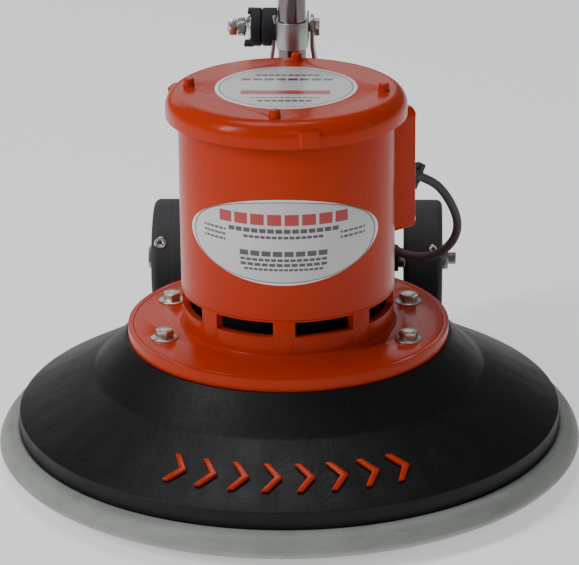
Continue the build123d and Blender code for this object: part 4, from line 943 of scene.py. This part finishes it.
@dataclass
class MotorLead:
    """The motor's lead with the gland at each end."""

    diameter: float = 0.007
    length: float = 0.1613
    seat: Point = (0.08576, 0.04958, 0.2167)
    mouth: Point = (0.10267, 0.06014, 0.20740)
    boss: float = 0.005
    across: float = 0.017
    clamp_bar: Point = (0.0078, 0.0208, 0.0046)
    clamp_lug: Point = (0.0052, 0.0034, 0.0090)
    lug_offset: float = 0.0078
    entry_across: float = 0.015
    entry_radius: float = 0.006
    entry_depth: float = 0.012
    grip_depth: float = 0.006

    def build(self) -> None:
        """Make the lead and its two glands."""
        cord = self._cord()
        self._glands()

    def _cord(self) -> bpy.types.Object:
        """The lead on its smooth route.

        Returns:
            Its curve.
        """
        data = bpy.data.curves.new("motor_lead", "CURVE")
        data.dimensions = "3D"
        spline = data.splines.new("NURBS")
        spline.points.add(len(CORD_ROUTE) - 1)
        for point, place in zip(spline.points, CORD_ROUTE):
            point.co = (*place, 1.0)
        spline.order_u = 3
        spline.use_endpoint_u = True
        spline.resolution_u = 16
        data.bevel_depth = self.diameter / 2
        data.bevel_resolution = 6
        data.use_fill_caps = True
        data.materials.append(CORD_SHEATH.material())
        cord = bpy.data.objects.new("motor_lead", data)
        bpy.context.scene.collection.objects.link(cord)
        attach(cord, "chassis")
        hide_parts("motor_cord")
        log.info("motor_lead: %d points on chassis", len(CORD_ROUTE))
        return cord

    def _glands(self) -> None:
        """A gland with a two-lug clamp bar at the box, and a smaller one at the motor."""
        axis = (Vector(self.mouth) - Vector(self.seat)).normalized()
        base = Vector(self.seat) + axis * self.boss
        reach = (Vector(self.mouth) - base).length
        piece = Workpiece("lead_glands")
        piece.add(hexagon(self.across, 0.35 * reach), aim(base, axis))
        bore = self.diameter / 2 + 0.0001
        cap = self.across / 2 - 0.0012
        sleeve = [
            (bore, 0.3 * reach, 0),
            (cap - 0.0016, 0.3 * reach, 0),
            (cap - 0.0010, 0.66 * reach, 0.0004),
            (cap - 0.0010, 0.90 * reach, 0.0008),
            (bore + 0.0016, 0.94 * reach, 0.0004),
            (bore, reach, 0),
        ]
        piece.add(turned(sleeve, 56), aim(base, axis))
        bar = block(self.clamp_bar, 0.0008, 3)
        piece.add(bar, aim(base, axis) @ Matrix.Translation((0, 0, 0.80 * reach)))
        for side in (-1, 1):
            lug = block(self.clamp_lug, 0.0006, 2)
            piece.add(lug, aim(base, axis) @ Matrix.Translation((0, side * self.lug_offset, 0.62 * reach)))
        end = Vector(CORD_ROUTE[-1])
        run = (end - Vector(CORD_ROUTE[-2])).normalized()
        foot = end + run * (self.entry_depth - self.grip_depth)
        piece.add(hexagon(self.entry_across, 0.5 * self.entry_depth), aim(foot, -run))
        neck = [
            (bore, 0, 0),
            (self.entry_radius, 0, 0),
            (self.entry_radius, 0.75 * self.entry_depth, 0.0012),
            (bore + 0.0012, self.entry_depth, 0.0006),
            (bore, self.entry_depth, 0),
        ]
        piece.add(turned(neck, 40), aim(foot, -run))
        piece.finish(GLAND_PLASTIC, "chassis", "black_plastic", ["cable_glands"])


# ---------------------------------------------------------------- deck
@dataclass
class Deck:
    """The cast deck with its bumper and its row of raised marks."""

    skirt_radius: float = 0.213
    skirt_bottom: float = 0.026
    bumper_inner: float = 0.206
    bumper_outer: float = 0.229
    bumper_bottom: float = 0.008

    def build(self) -> None:
        """Make the shell, the bumper and the marks."""
        self._shell()
        self._bumper()
        self._marks()

    def _shell(self) -> None:
        """The cast shell with its ribs."""
        piece = Workpiece("deck_shell")
        piece.add(cad_copy("deck_housing", 0.0012, 3, 0.5))
        piece.finish(BLACK_CASTING, "chassis", "deck_black", ["deck_housing"], 30.0)

    def _bumper(self) -> None:
        """The soft ring with its rolled outer face and a parting bead."""
        mid = 0.5 * (self.bumper_bottom + self.skirt_bottom)
        lip = self.skirt_bottom + 0.002
        profile = [
            (self.bumper_inner, self.bumper_bottom, 0.0015),
            (self.bumper_outer - 0.0092, self.bumper_bottom, 0.0035),
            (self.bumper_outer - 0.0018, self.bumper_bottom + 0.0042, 0.0030),
            (self.bumper_outer, mid - 0.0010, 0.0030),
            (self.bumper_outer - 0.0014, mid + 0.0042, 0.0025),
            (self.bumper_outer - 0.0062, lip - 0.0004, 0.0022),
            (self.skirt_radius + 0.0015, lip + 0.0008, 0.0006),
            (self.skirt_radius - 0.0001, lip, 0),
            (self.skirt_radius - 0.0001, self.skirt_bottom, 0),
            (self.bumper_inner, self.skirt_bottom, 0),
        ]
        piece = Workpiece("bumper")
        piece.add(turned(profile, 192, 4))
        piece.finish(GREY_BUMPER, "chassis", "bumper_rubber", ["bumper_ring"], 50.0)

    def _marks(self) -> None:
        """The eight raised chevrons with soft edges."""
        piece = Workpiece("raised_marks")
        piece.add(cad_copy("deck_badges", 0.0009, 3, 0.6))
        piece.finish(ORANGE, "chassis", "orange_paint", ["deck_badges"], 40.0)


@dataclass
class Flange:
    """The motor's flange with its slotted neck, washers and bolts."""

    bolt_x: float = 0.094
    bolt_y: float = 0.0407
    top: float = 0.1096
    washer_radius: float = 0.0108
    washer_height: float = 0.0016
    bolt_across: float = 0.01304
    bolt_height: float = 0.0053
    bolt_radius: float = 0.004
    bolt_length: float = 0.0256
    neck_inner: float = 0.0775

    def build(self) -> None:
        """Make the flange, with near-black painted shade on the inside of its neck, and its fasteners."""
        plate = Workpiece("flange_plate")
        plate.add(cad_copy("motor_flange", 0.0006, 2, 0.6))
        casting = plate.finish(ORANGE, "chassis", "orange_paint", ["motor_flange"], 30.0)
        casting.data.materials.append(NECK_PAINTED_SHADE.material())
        # Faces inside the neck's radius get the near-black painted shade instead of the orange enamel.
        places = [vert.co for vert in casting.data.vertices]
        for face in casting.data.polygons:
            reach = max(places[index].xy.length for index in face.vertices)
            face.material_index = 1 if reach < self.neck_inner else 0
        self._fasteners()

    def _fasteners(self) -> None:
        """The four hexagon bolts on their domed washers."""
        washers = Workpiece("domed_washers")
        bolts = Workpiece("flange_hex_bolts")
        bore, tip, chamfer = self.bolt_radius + 0.0004, self.bolt_radius - 0.0005, 0.0008
        dome = [
            (bore, 0.0, 0),
            (self.washer_radius, 0.0, 0.0002),
            (self.washer_radius, 0.0007, 0.0003),
            (self.bolt_across / 2, self.washer_height, 0.0004),
            (bore, self.washer_height, 0),
        ]
        shank = [
            (0.0, -self.bolt_length, 0),
            (tip, -self.bolt_length, 0),
            (self.bolt_radius, chamfer - self.bolt_length, 0),
            (self.bolt_radius, 0.001, 0),
            (0.0, 0.001, 0),
        ]
        stamp = [(0.0, 0.0, 0), (0.0036, 0.0, 0), (0.0034, 0.00012, 0), (0.0, 0.00012, 0)]
        for index, (side_x, side_y) in enumerate(((-1, -1), (1, -1), (-1, 1), (1, 1))):
            seat = Vector((side_x * self.bolt_x, side_y * self.bolt_y, self.top))
            head = seat + Vector((0, 0, self.washer_height))
            spin = math.radians(17 + 23 * index)
            washers.add(turned(dome, 64, 3), Matrix.Translation(seat))
            bolts.add(hexagon(self.bolt_across, self.bolt_height), aim(head, (0, 0, 1), spin))
            bolts.add(turned(shank, 32), Matrix.Translation(head))
            bolts.add(turned(stamp, 32), Matrix.Translation(head + Vector((0, 0, self.bolt_height))))
        washers.finish(ZINC, "chassis", "zinc", ["flange_washers"], 40.0)
        bolts.finish(ZINC, "chassis", "zinc", ["flange_bolts"], 30.0)


@dataclass
class Motor:
    """The motor's shell, its lid, labels and terminal box."""

    lid_top: float = 0.2984
    post_circle: float = 0.0747
    post_angle: float = -94.4
    post_radius: float = 0.0042
    post_height: float = 0.006
    shank_radius: float = 0.0025
    shank_foot: float = 0.262
    label_radius: float = 0.0544
    label_film: float = 0.0006

    def build(self) -> None:
        """Make the painted parts, the labels and the lid's posts."""
        for node, name, rounding in (
            ("motor_shell", "motor_can", 0.0007),
            ("top_cover", "motor_lid", 0.0009),
            ("terminal_box", "lead_box", 0.0012),
            ("terminal_box_cover", "lead_box_lid", 0.0005),
        ):
            piece = Workpiece(name)
            piece.add(cad_copy(node, rounding, 3, 0.6))
            piece.finish(ORANGE, "chassis", "orange_paint", [node], 32.0)
        self._posts()
        self._labels()
        screws = Workpiece("lead_box_screws")
        screws.add(cad_copy("terminal_box_screws", 0.0005, 2, 0.6))
        screws.finish(ZINC, "chassis", "zinc", ["terminal_box_screws"], 35.0)

    def _posts(self) -> None:
        """The painted heads of the tie screws, with their shanks."""
        piece = Workpiece("lid_posts")
        foot = self.shank_foot - self.lid_top
        for index in range(4):
            angle = math.radians(self.post_angle + 90 * index)
            seat = (self.post_circle * math.cos(angle), self.post_circle * math.sin(angle), self.lid_top)
            profile = [
                (0.0, foot, 0),
                (self.shank_radius, foot, 0),
                (self.shank_radius, 0.0, 0),
                (self.post_radius + 0.0007, 0.0, 0.0006),
                (self.post_radius, 0.0012, 0.0005),
                (self.post_radius, self.post_height, 0.0014),
                (0.0, self.post_height, 0),
            ]
            piece.add(turned(profile, 40, 4), Matrix.Translation(seat))
        piece.finish(ORANGE, "chassis", "orange_paint", ["cover_screws"], 40.0)

    def _labels(self) -> None:
        """The two printed films."""
        oval = Workpiece("oval_label")
        oval.add(cad_copy("front_label", 0.00015, 2, 0.6))
        oval.finish(FRONT_PRINT, "chassis", "label_white", ["front_label"], 40.0)
        film = [
            (0.0, 0.0, 0),
            (self.label_radius, 0.0, 0),
            (self.label_radius, self.label_film, 0.0003),
            (0.0, self.label_film, 0),
        ]
        badge = Workpiece("round_label")
        badge.add(turned(film, 128, 3), Matrix.Translation((0, 0, self.lid_top)))
        badge.finish(TOP_PRINT, "chassis", "label_white", ["top_label"], 40.0)


# ---------------------------------------------------------------- carriage and handle
@dataclass
class Wheel:
    """One moulded wheel with rounded shoulders, a faint seam and a ribbed hub."""

    side: int
    centre: Point
    radius: float = 0.050
    width: float = 0.033
    hub_radius: float = 0.034
    hub_recess: float = 0.0035
    hub_slope: float = 0.008
    bore: float = 0.00505
    shoulder: float = 0.0052
    seam: float = 0.0004
    rib_count: int = 6

    def build(self) -> None:
        """Make the wheel and its tread screw."""
        name = "left" if self.side < 0 else "right"
        piece = Workpiece(f"{name}_wheel_moulding")
        piece.add(turned(self._profile(), 128, 5), aim(self.centre, (1, 0, 0)))
        self._hub(piece)
        self._screw_seat(piece, name)
        piece.finish(WHEEL, f"{name}_wheel_body", "wheel_plastic", [f"{name}_wheel"], 40.0)
        screw = Workpiece(f"{name}_tread_screw")
        screw.add(cad_copy(f"{name}_wheel_screw", 0.0007, 3, 0.6))
        screw.finish(BRIGHT_ZINC, f"{name}_wheel_body", "zinc", [f"{name}_wheel_screw"], 35.0)

    def _profile(self) -> list[tuple[float, float, float]]:
        """The wheel's section, with a ring beside each rounding to keep the tread's shading flat.

        Returns:
            The corners for turned().
        """
        half = self.width / 2
        hub_half = half - self.hub_recess
        hub_foot = self.hub_radius - self.hub_slope
        beside = self.shoulder + 0.0006
        return [
            (self.bore, -hub_half, 0),
            (hub_foot, -hub_half, 0.001),
            (self.hub_radius, -half, 0.0008),
            (self.radius, -half, self.shoulder),
            (self.radius, -half + beside, 0),
            (self.radius, -2 * self.seam, 0),
            (self.radius, -self.seam, 0),
            (self.radius - self.seam / 2, 0.0, 0),
            (self.radius, self.seam, 0),
            (self.radius, 2 * self.seam, 0),
            (self.radius, half - beside, 0),
            (self.radius, half, self.shoulder),
            (self.hub_radius, half, 0.0008),
            (hub_foot, hub_half, 0.001),
            (self.bore, hub_half, 0),
        ]

    def _hub(self, piece: Workpiece) -> None:
        """Add the collar and the ribs in both faces of the hub.

        Args:
            piece: the wheel.
        """
        collar = [(self.bore, 0.0, 0), (0.0125, 0.0, 0), (0.0115, 0.0022, 0.0006), (self.bore, 0.0022, 0)]
        for face in (-1, 1):
            seat = Vector(self.centre) + Vector((face * (self.width / 2 - self.hub_recess), 0, 0))
            place = aim(seat, (face, 0, 0))
            piece.add(turned(collar, 48, 3), place)
            for index in range(self.rib_count):
                rib = block((0.0145, 0.0030, 0.0030), 0.0006, 2)
                spin = Matrix.Rotation(math.tau / self.rib_count * index, 4, "Z")
                piece.add(rib, place @ spin @ Matrix.Translation((0.0185, 0, 0.0006)))

    def _screw_seat(self, piece: Workpiece, name: str) -> None:
        """Add the low lip round the screw in the tread.

        Args:
            piece: the wheel.
            name: which wheel it is.
        """
        low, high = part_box(f"{name}_wheel_screw")
        middle = (low + high) / 2
        way = Vector((0, middle.y - self.centre[1], middle.z - self.centre[2])).normalized()
        head = 0.0052 if self.side < 0 else 0.0036
        lip = [
            (head, -0.0015, 0),
            (head + 0.0012, -0.0015, 0),
            (head + 0.0010, 0.0004, 0.0003),
            (head, 0.0004, 0.0003),
        ]
        piece.add(turned(lip, 40, 2), aim(Vector((middle.x, *self.centre[1:])) + way * self.radius, way))


@dataclass
class AxleSet:
    """The axle with its head, washers, spacers and nuts."""

    centre_y: float
    centre_z: float
    radius: float = 0.005
    head_x: float = 0.122
    end_x: float = 0.1347
    across: float = 0.017
    washer: float = 0.0025
    nut: float = 0.006
    tab_x: float = 0.0816
    arm_x: float = 0.0856
    hub_inner_x: float = 0.0932
    thread_length: float = 0.0062
    thread_pitch: float = 0.00125
    gap: float = 0.0003

    def build(self) -> None:
        """Make the axle and the parts on it."""
        self._bolt()
        self._parts()

    def _bolt(self) -> None:
        """The long bolt with its head and the thread at its end."""
        axle = Workpiece("axle_bolt")
        span = self.head_x + self.end_x
        rod = [(0.0, 0.0, 0), (self.radius, 0.0, 0), (self.radius, span, 0.0009), (0.0, span, 0)]
        axle.add(turned(rod, 40, 3), self._at(-self.head_x, 1))
        axle.add(hexagon(self.across, self.nut), self._at(-self.head_x, -1))
        crest = [(self.radius - 0.0001, 0.0, 0), (self.radius + 0.0003, 0.0004, 0), (self.radius - 0.0001, 0.0008, 0)]
        level = self.end_x - self.thread_length
        while level < self.end_x - 0.001:
            axle.add(turned(crest, 40), self._at(level, 1))
            level += self.thread_pitch
        axle.finish(DULL_ZINC, "chassis", "zinc", ["axle"])

    def _parts(self) -> None:
        """The washers, the spacers between arms and hubs, and the nuts."""
        spacer = self.hub_inner_x - self.arm_x
        parts = Workpiece("axle_nuts_and_washers")
        for start, thick, reach in (
            (-self.head_x, self.washer, 0.010),
            (self.head_x - self.washer, self.washer, 0.010),
            (-self.hub_inner_x, spacer, 0.0085),
            (self.arm_x, spacer, 0.0085),
        ):
            ring = [
                (self.radius, 0.0, 0),
                (reach, 0.0, 0.0003),
                (reach, thick - self.gap, 0.0003),
                (self.radius, thick - self.gap, 0),
            ]
            parts.add(turned(ring, 48, 2), self._at(start + self.gap / 2, 1))
        parts.add(hexagon(self.across, self.nut), self._at(self.head_x + 0.0001, 1))
        parts.add(hexagon(self.across, self.nut), self._at(self.tab_x, -1))
        parts.add(hexagon(self.across, self.nut), self._at(-self.tab_x, 1))
        parts.finish(DULL_ZINC, "chassis", "zinc", ["axle_fasteners"])

    def _at(self, level: float, way: int) -> Matrix:
        """The place on the axle at an X, pointing along +X or -X."""
        return aim((level, self.centre_y, self.centre_z), (way, 0, 0), 0.35)


@dataclass
class Clamp:
    """The handle's clamp: the collar, the lever half, the domed washer and the nuts."""

    bolt_y: float = 0.150
    bolt_z: float = 0.304
    radius: float = 0.0155
    bolt_radius: float = 0.004
    outer_start: float = -0.0252
    outer_end: float = -0.0334
    dome_end: float = -0.0383
    nut: float = 0.0063
    nut_across: float = 0.01304
    lever: float = 0.062
    arm_x: float = -0.0302
    knob_x: float = -0.0267
    knob_radius: float = 0.006
    tube_y: float = 0.130
    tube_radius: float = 0.0111
    collar_top: float = 0.3146

    def build(self) -> None:
        """Make the lever half, the washer with its nuts, and the collar."""
        self._lever()
        self._nuts()
        self._collar()

    def _at(self, level: float, spin: float = 0.0) -> Matrix:
        """The place on the cross bolt at an X, pointing outwards along -X."""
        return aim((level, self.bolt_y, self.bolt_z), (-1, 0, 0), spin)

    def _lever(self) -> None:
        """The outer half cup with its lips and the lever's arm."""
        piece = Workpiece("lever_half")
        thick = self.outer_start - self.outer_end
        bore = self.bolt_radius + 0.0001
        disc = [
            (bore, 0.0, 0),
            (self.radius, 0.0, 0.0011),
            (self.radius, thick, 0.0009),
            (self.radius - 0.0032, thick, 0.0004),
            (self.radius - 0.0042, thick - 0.0006, 0),
            (bore, thick - 0.0006, 0),
        ]
        piece.add(turned(disc, 72, 3), self._at(self.outer_start))
        for rise, reach, wide in ((-0.0136, 0.0060, 0.013), (0.0134, 0.0028, 0.012)):
            lip = block((reach + 0.002, wide, 0.0030), 0.0008, 3)
            middle = (self.outer_end - reach / 2 + 0.001, self.bolt_y, self.bolt_z + rise)
            piece.add(lip, Matrix.Translation(middle))
        arm_z = self.bolt_z - self.radius + 0.005
        arm = block((0.0068, self.lever, 0.0088), 0.0016, 3)
        piece.add(arm, Matrix.Translation((self.arm_x, self.bolt_y + self.lever / 2, arm_z)))
        knob = [
            (0.0, 0.0, 0),
            (self.knob_radius, 0.0, 0.0016),
            (self.knob_radius, 0.007, 0.0016),
            (0.0, 0.007, 0),
        ]
        piece.add(turned(knob, 48, 3), aim((self.knob_x, self.bolt_y + self.lever, arm_z), (-1, 0, 0)))
        piece.finish(BLACK_PLASTIC, "lever", "black_plastic", ["clamp_lever"])

    def _nuts(self) -> None:
        """The domed washer and the two nuts."""
        piece = Workpiece("dome_and_nuts")
        depth = self.outer_end - self.dome_end
        bore = self.bolt_radius
        dome = [
            (bore, 0.0, 0),
            (0.0112, 0.0, 0.0003),
            (0.0112, 0.0008, 0.0003),
            (0.0096, 0.0018, 0.0006),
            (0.0070, depth - 0.0006, 0.0012),
            (bore, depth, 0),
        ]
        piece.add(turned(dome, 64, 4), self._at(self.outer_end))
        piece.add(hexagon(self.nut_across, self.nut), self._at(self.dome_end, 0.25))
        piece.add(hexagon(self.nut_across, self.nut), self._at(self.dome_end - self.nut - 0.0006, 0.75))
        piece.finish(BRIGHT_ZINC, "collar", "zinc", ["clamp_nuts"])

    def _collar(self) -> None:
        """The strap collar with its rolled upper edge and a folded ear."""
        piece = Workpiece("strap_collar")
        piece.add(cad_copy("clamp_collar", 0.0004, 2, 0.6))
        inner = self.tube_radius + 0.00015
        outer = self.tube_radius + 0.0019
        bead = [(inner, -0.0009, 0.0004), (outer, -0.0009, 0.0005), (outer, 0.0006, 0.0006), (inner, 0.0006, 0.0004)]
        piece.add(turned(bead, 72, 3), Matrix.Translation((0, self.tube_y, self.collar_top)))
        ear = block((0.0024, 0.0044, 0.0066), 0.0006, 2)
        lean = Matrix.Rotation(math.radians(-14), 4, "Y")
        piece.add(ear, Matrix.Translation((-0.0138, self.tube_y + 0.0018, self.collar_top + 0.0004)) @ lean)
        piece.finish(BARE_STEEL, "collar", "bare_steel", ["clamp_collar"])


@dataclass
class Softened:
    """CAD parts whose shape is right, with rounded edges and their own finish."""

    parts: tuple[tuple[str, str, Finish, float], ...]

    def build(self) -> None:
        """Make each part from its CAD node: node, body, finish, rounding."""
        slots = {row["node"]: row["material_slot"] for row in frame["record"]["subparts"]}
        for node, body, finish, rounding in self.parts:
            piece = Workpiece(f"{node}_soft")
            piece.add(cad_copy(node, rounding, 2, 0.6))
            piece.finish(finish, body, slots[node], [node], 32.0)


HARDWARE = Softened(
    (
        ("rear_bracket", "chassis", FRAME_BLACK, 0.0006),
        ("bracket_bolts", "chassis", ZINC, 0.0004),
        ("wheel_arms", "chassis", FRAME_BLACK, 0.0006),
        ("pivot_pins", "chassis", ZINC, 0.0004),
        ("handle_socket", "handle", BARE_STEEL, 0.0005),
        ("handle_tube", "handle", CHROME, 0.0),
        ("crossbar", "handle", CHROME, 0.0),
        ("switch_box", "handle", BLACK_PLASTIC, 0.0008),
        ("switch_box_cover", "handle", BLACK_PLASTIC, 0.0008),
        ("inlet_gland", "handle", BLACK_PLASTIC, 0.0006),
        ("cord_hooks", "handle", BLACK_PLASTIC, 0.0009),
        ("trigger_pins", "handle", ZINC, 0.0003),
        ("left_trigger", "left_trigger_body", BLACK_PLASTIC, 0.0009),
        ("right_trigger", "right_trigger_body", BLACK_PLASTIC, 0.0009),
        ("safety_button", "button", RED_BUTTON, 0.0004),
        ("cross_bolt", "collar", ZINC, 0.0004),
        ("clamp_cup", "collar", BLACK_PLASTIC, 0.0007),
        ("handle_stay", "stay", BARE_STEEL, 0.0005),
    )
)


@dataclass
class Grips:
    """The two ribbed rubber grips on the crossbar."""

    half_bar: float = 0.230
    length: float = 0.120
    radius: float = 0.016
    collar_radius: float = 0.021
    bore: float = 0.0111
    centre_y: float = 0.130
    centre_z: float = 1.120
    rib_pitch: float = 0.006

    def build(self) -> None:
        """Make both grips in one piece."""
        piece = Workpiece("ribbed_grips")
        for side in (-1, 1):
            start = (side * (self.half_bar - self.length), self.centre_y, self.centre_z)
            piece.add(self._grip(), aim(start, (side, 0, 0)))
        piece.finish(GRIP_RUBBER, "handle", "grip_rubber", ["grips"], 50.0)

    def _grip(self) -> bmesh.types.BMesh:
        """One grip along +Z, from its collar to its closed end.

        Returns:
            The body.
        """
        corners = [(self.bore, 0.0, 0), (self.collar_radius, 0.0, 0.0015), (self.collar_radius, 0.005, 0.0015)]
        level = 0.0075
        while level < self.length - 0.012:
            corners += [
                (self.radius - 0.0012, level, 0.0003),
                (self.radius - 0.0012, level + 0.0012, 0.0003),
                (self.radius, level + 0.002, 0.0005),
                (self.radius, level + self.rib_pitch - 0.0008, 0.0005),
            ]
            level += self.rib_pitch
        corners += [
            (self.radius, self.length + 0.004, 0.003),
            (0.0, self.length + 0.004, 0),
            (0.0, self.length, 0),
            (self.bore, self.length, 0),
        ]
        return turned(corners, 64, 3)


@dataclass
class BurnishingPad:
    """The fibre pad under the driver: a soft-edged disc with a lumpy, open surface."""

    radius: float = 0.200
    height: float = 0.020
    edge: float = 0.004
    lump: float = 0.0007
    longest_edge: float = 0.008

    def build(self) -> None:
        inset = self.lump + 0.0002
        rim, low, high = self.radius - inset, inset, self.height - inset
        rings = (0.0, self.radius * 0.33, self.radius * 0.66, self.radius - 0.014)
        profile = [(ring, low, 0) for ring in rings]
        profile += [(rim, low, self.edge), (rim, self.height / 2, 0), (rim, high, self.edge)]
        profile += [(ring, high, 0) for ring in reversed(rings)]
        disc = turned(profile, 128, 5)
        long_edges = [edge for edge in disc.edges if edge.calc_length() > self.longest_edge]
        bmesh.ops.subdivide_edges(disc, edges=long_edges, cuts=4, use_grid_fill=True)
        for vert in disc.verts:
            way = vert.normal if vert.normal.length > 0.5 else Vector((0, 0, 1))
            rise = noise.noise(vert.co * 160.0) * 0.6 + noise.noise(vert.co * 420.0) * 0.4
            vert.co += way * max(-1.0, min(1.0, rise)) * self.lump
        piece = Workpiece("fibre_pad")
        piece.add(disc)
        pad = piece.finish(PAD_FIBRE, "spindle", "pad_fibre", ["burnishing_pad"], 70.0)


class CadFinishes:
    """The finishes of the CAD nodes that stay as they are."""

    def build(self) -> None:
        """Give each CAD node its slot's finish."""
        for row in frame["record"]["subparts"]:
            finish = FRONT_PRINT if row["node"] == "front_label" else SLOT_FINISH[row["material_slot"]]
            data = frame["nodes"][row["node"]].data
            data.materials.clear()
            data.materials.append(finish.material())


def main() -> None:
    """Build everything in order."""
    logging.basicConfig(level=logging.INFO, format="%(name)s: %(message)s")
    wheel_low, wheel_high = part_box("left_wheel")
    middle = (wheel_low + wheel_high) / 2
    builders = (
        Studio(),
        CadFinishes(),
        MotorLead(),
        Deck(),
        Flange(),
        Motor(),
        Wheel(-1, tuple(middle)),
        Wheel(1, (-middle.x, middle.y, middle.z)),
        AxleSet(middle.y, middle.z),
        Clamp(),
        HARDWARE,
        Grips(),
        BurnishingPad(),
    )
    for builder in builders:
        builder.build()
        log.info("built %s", type(builder).__name__)


if __name__ == "__main__":
    main()
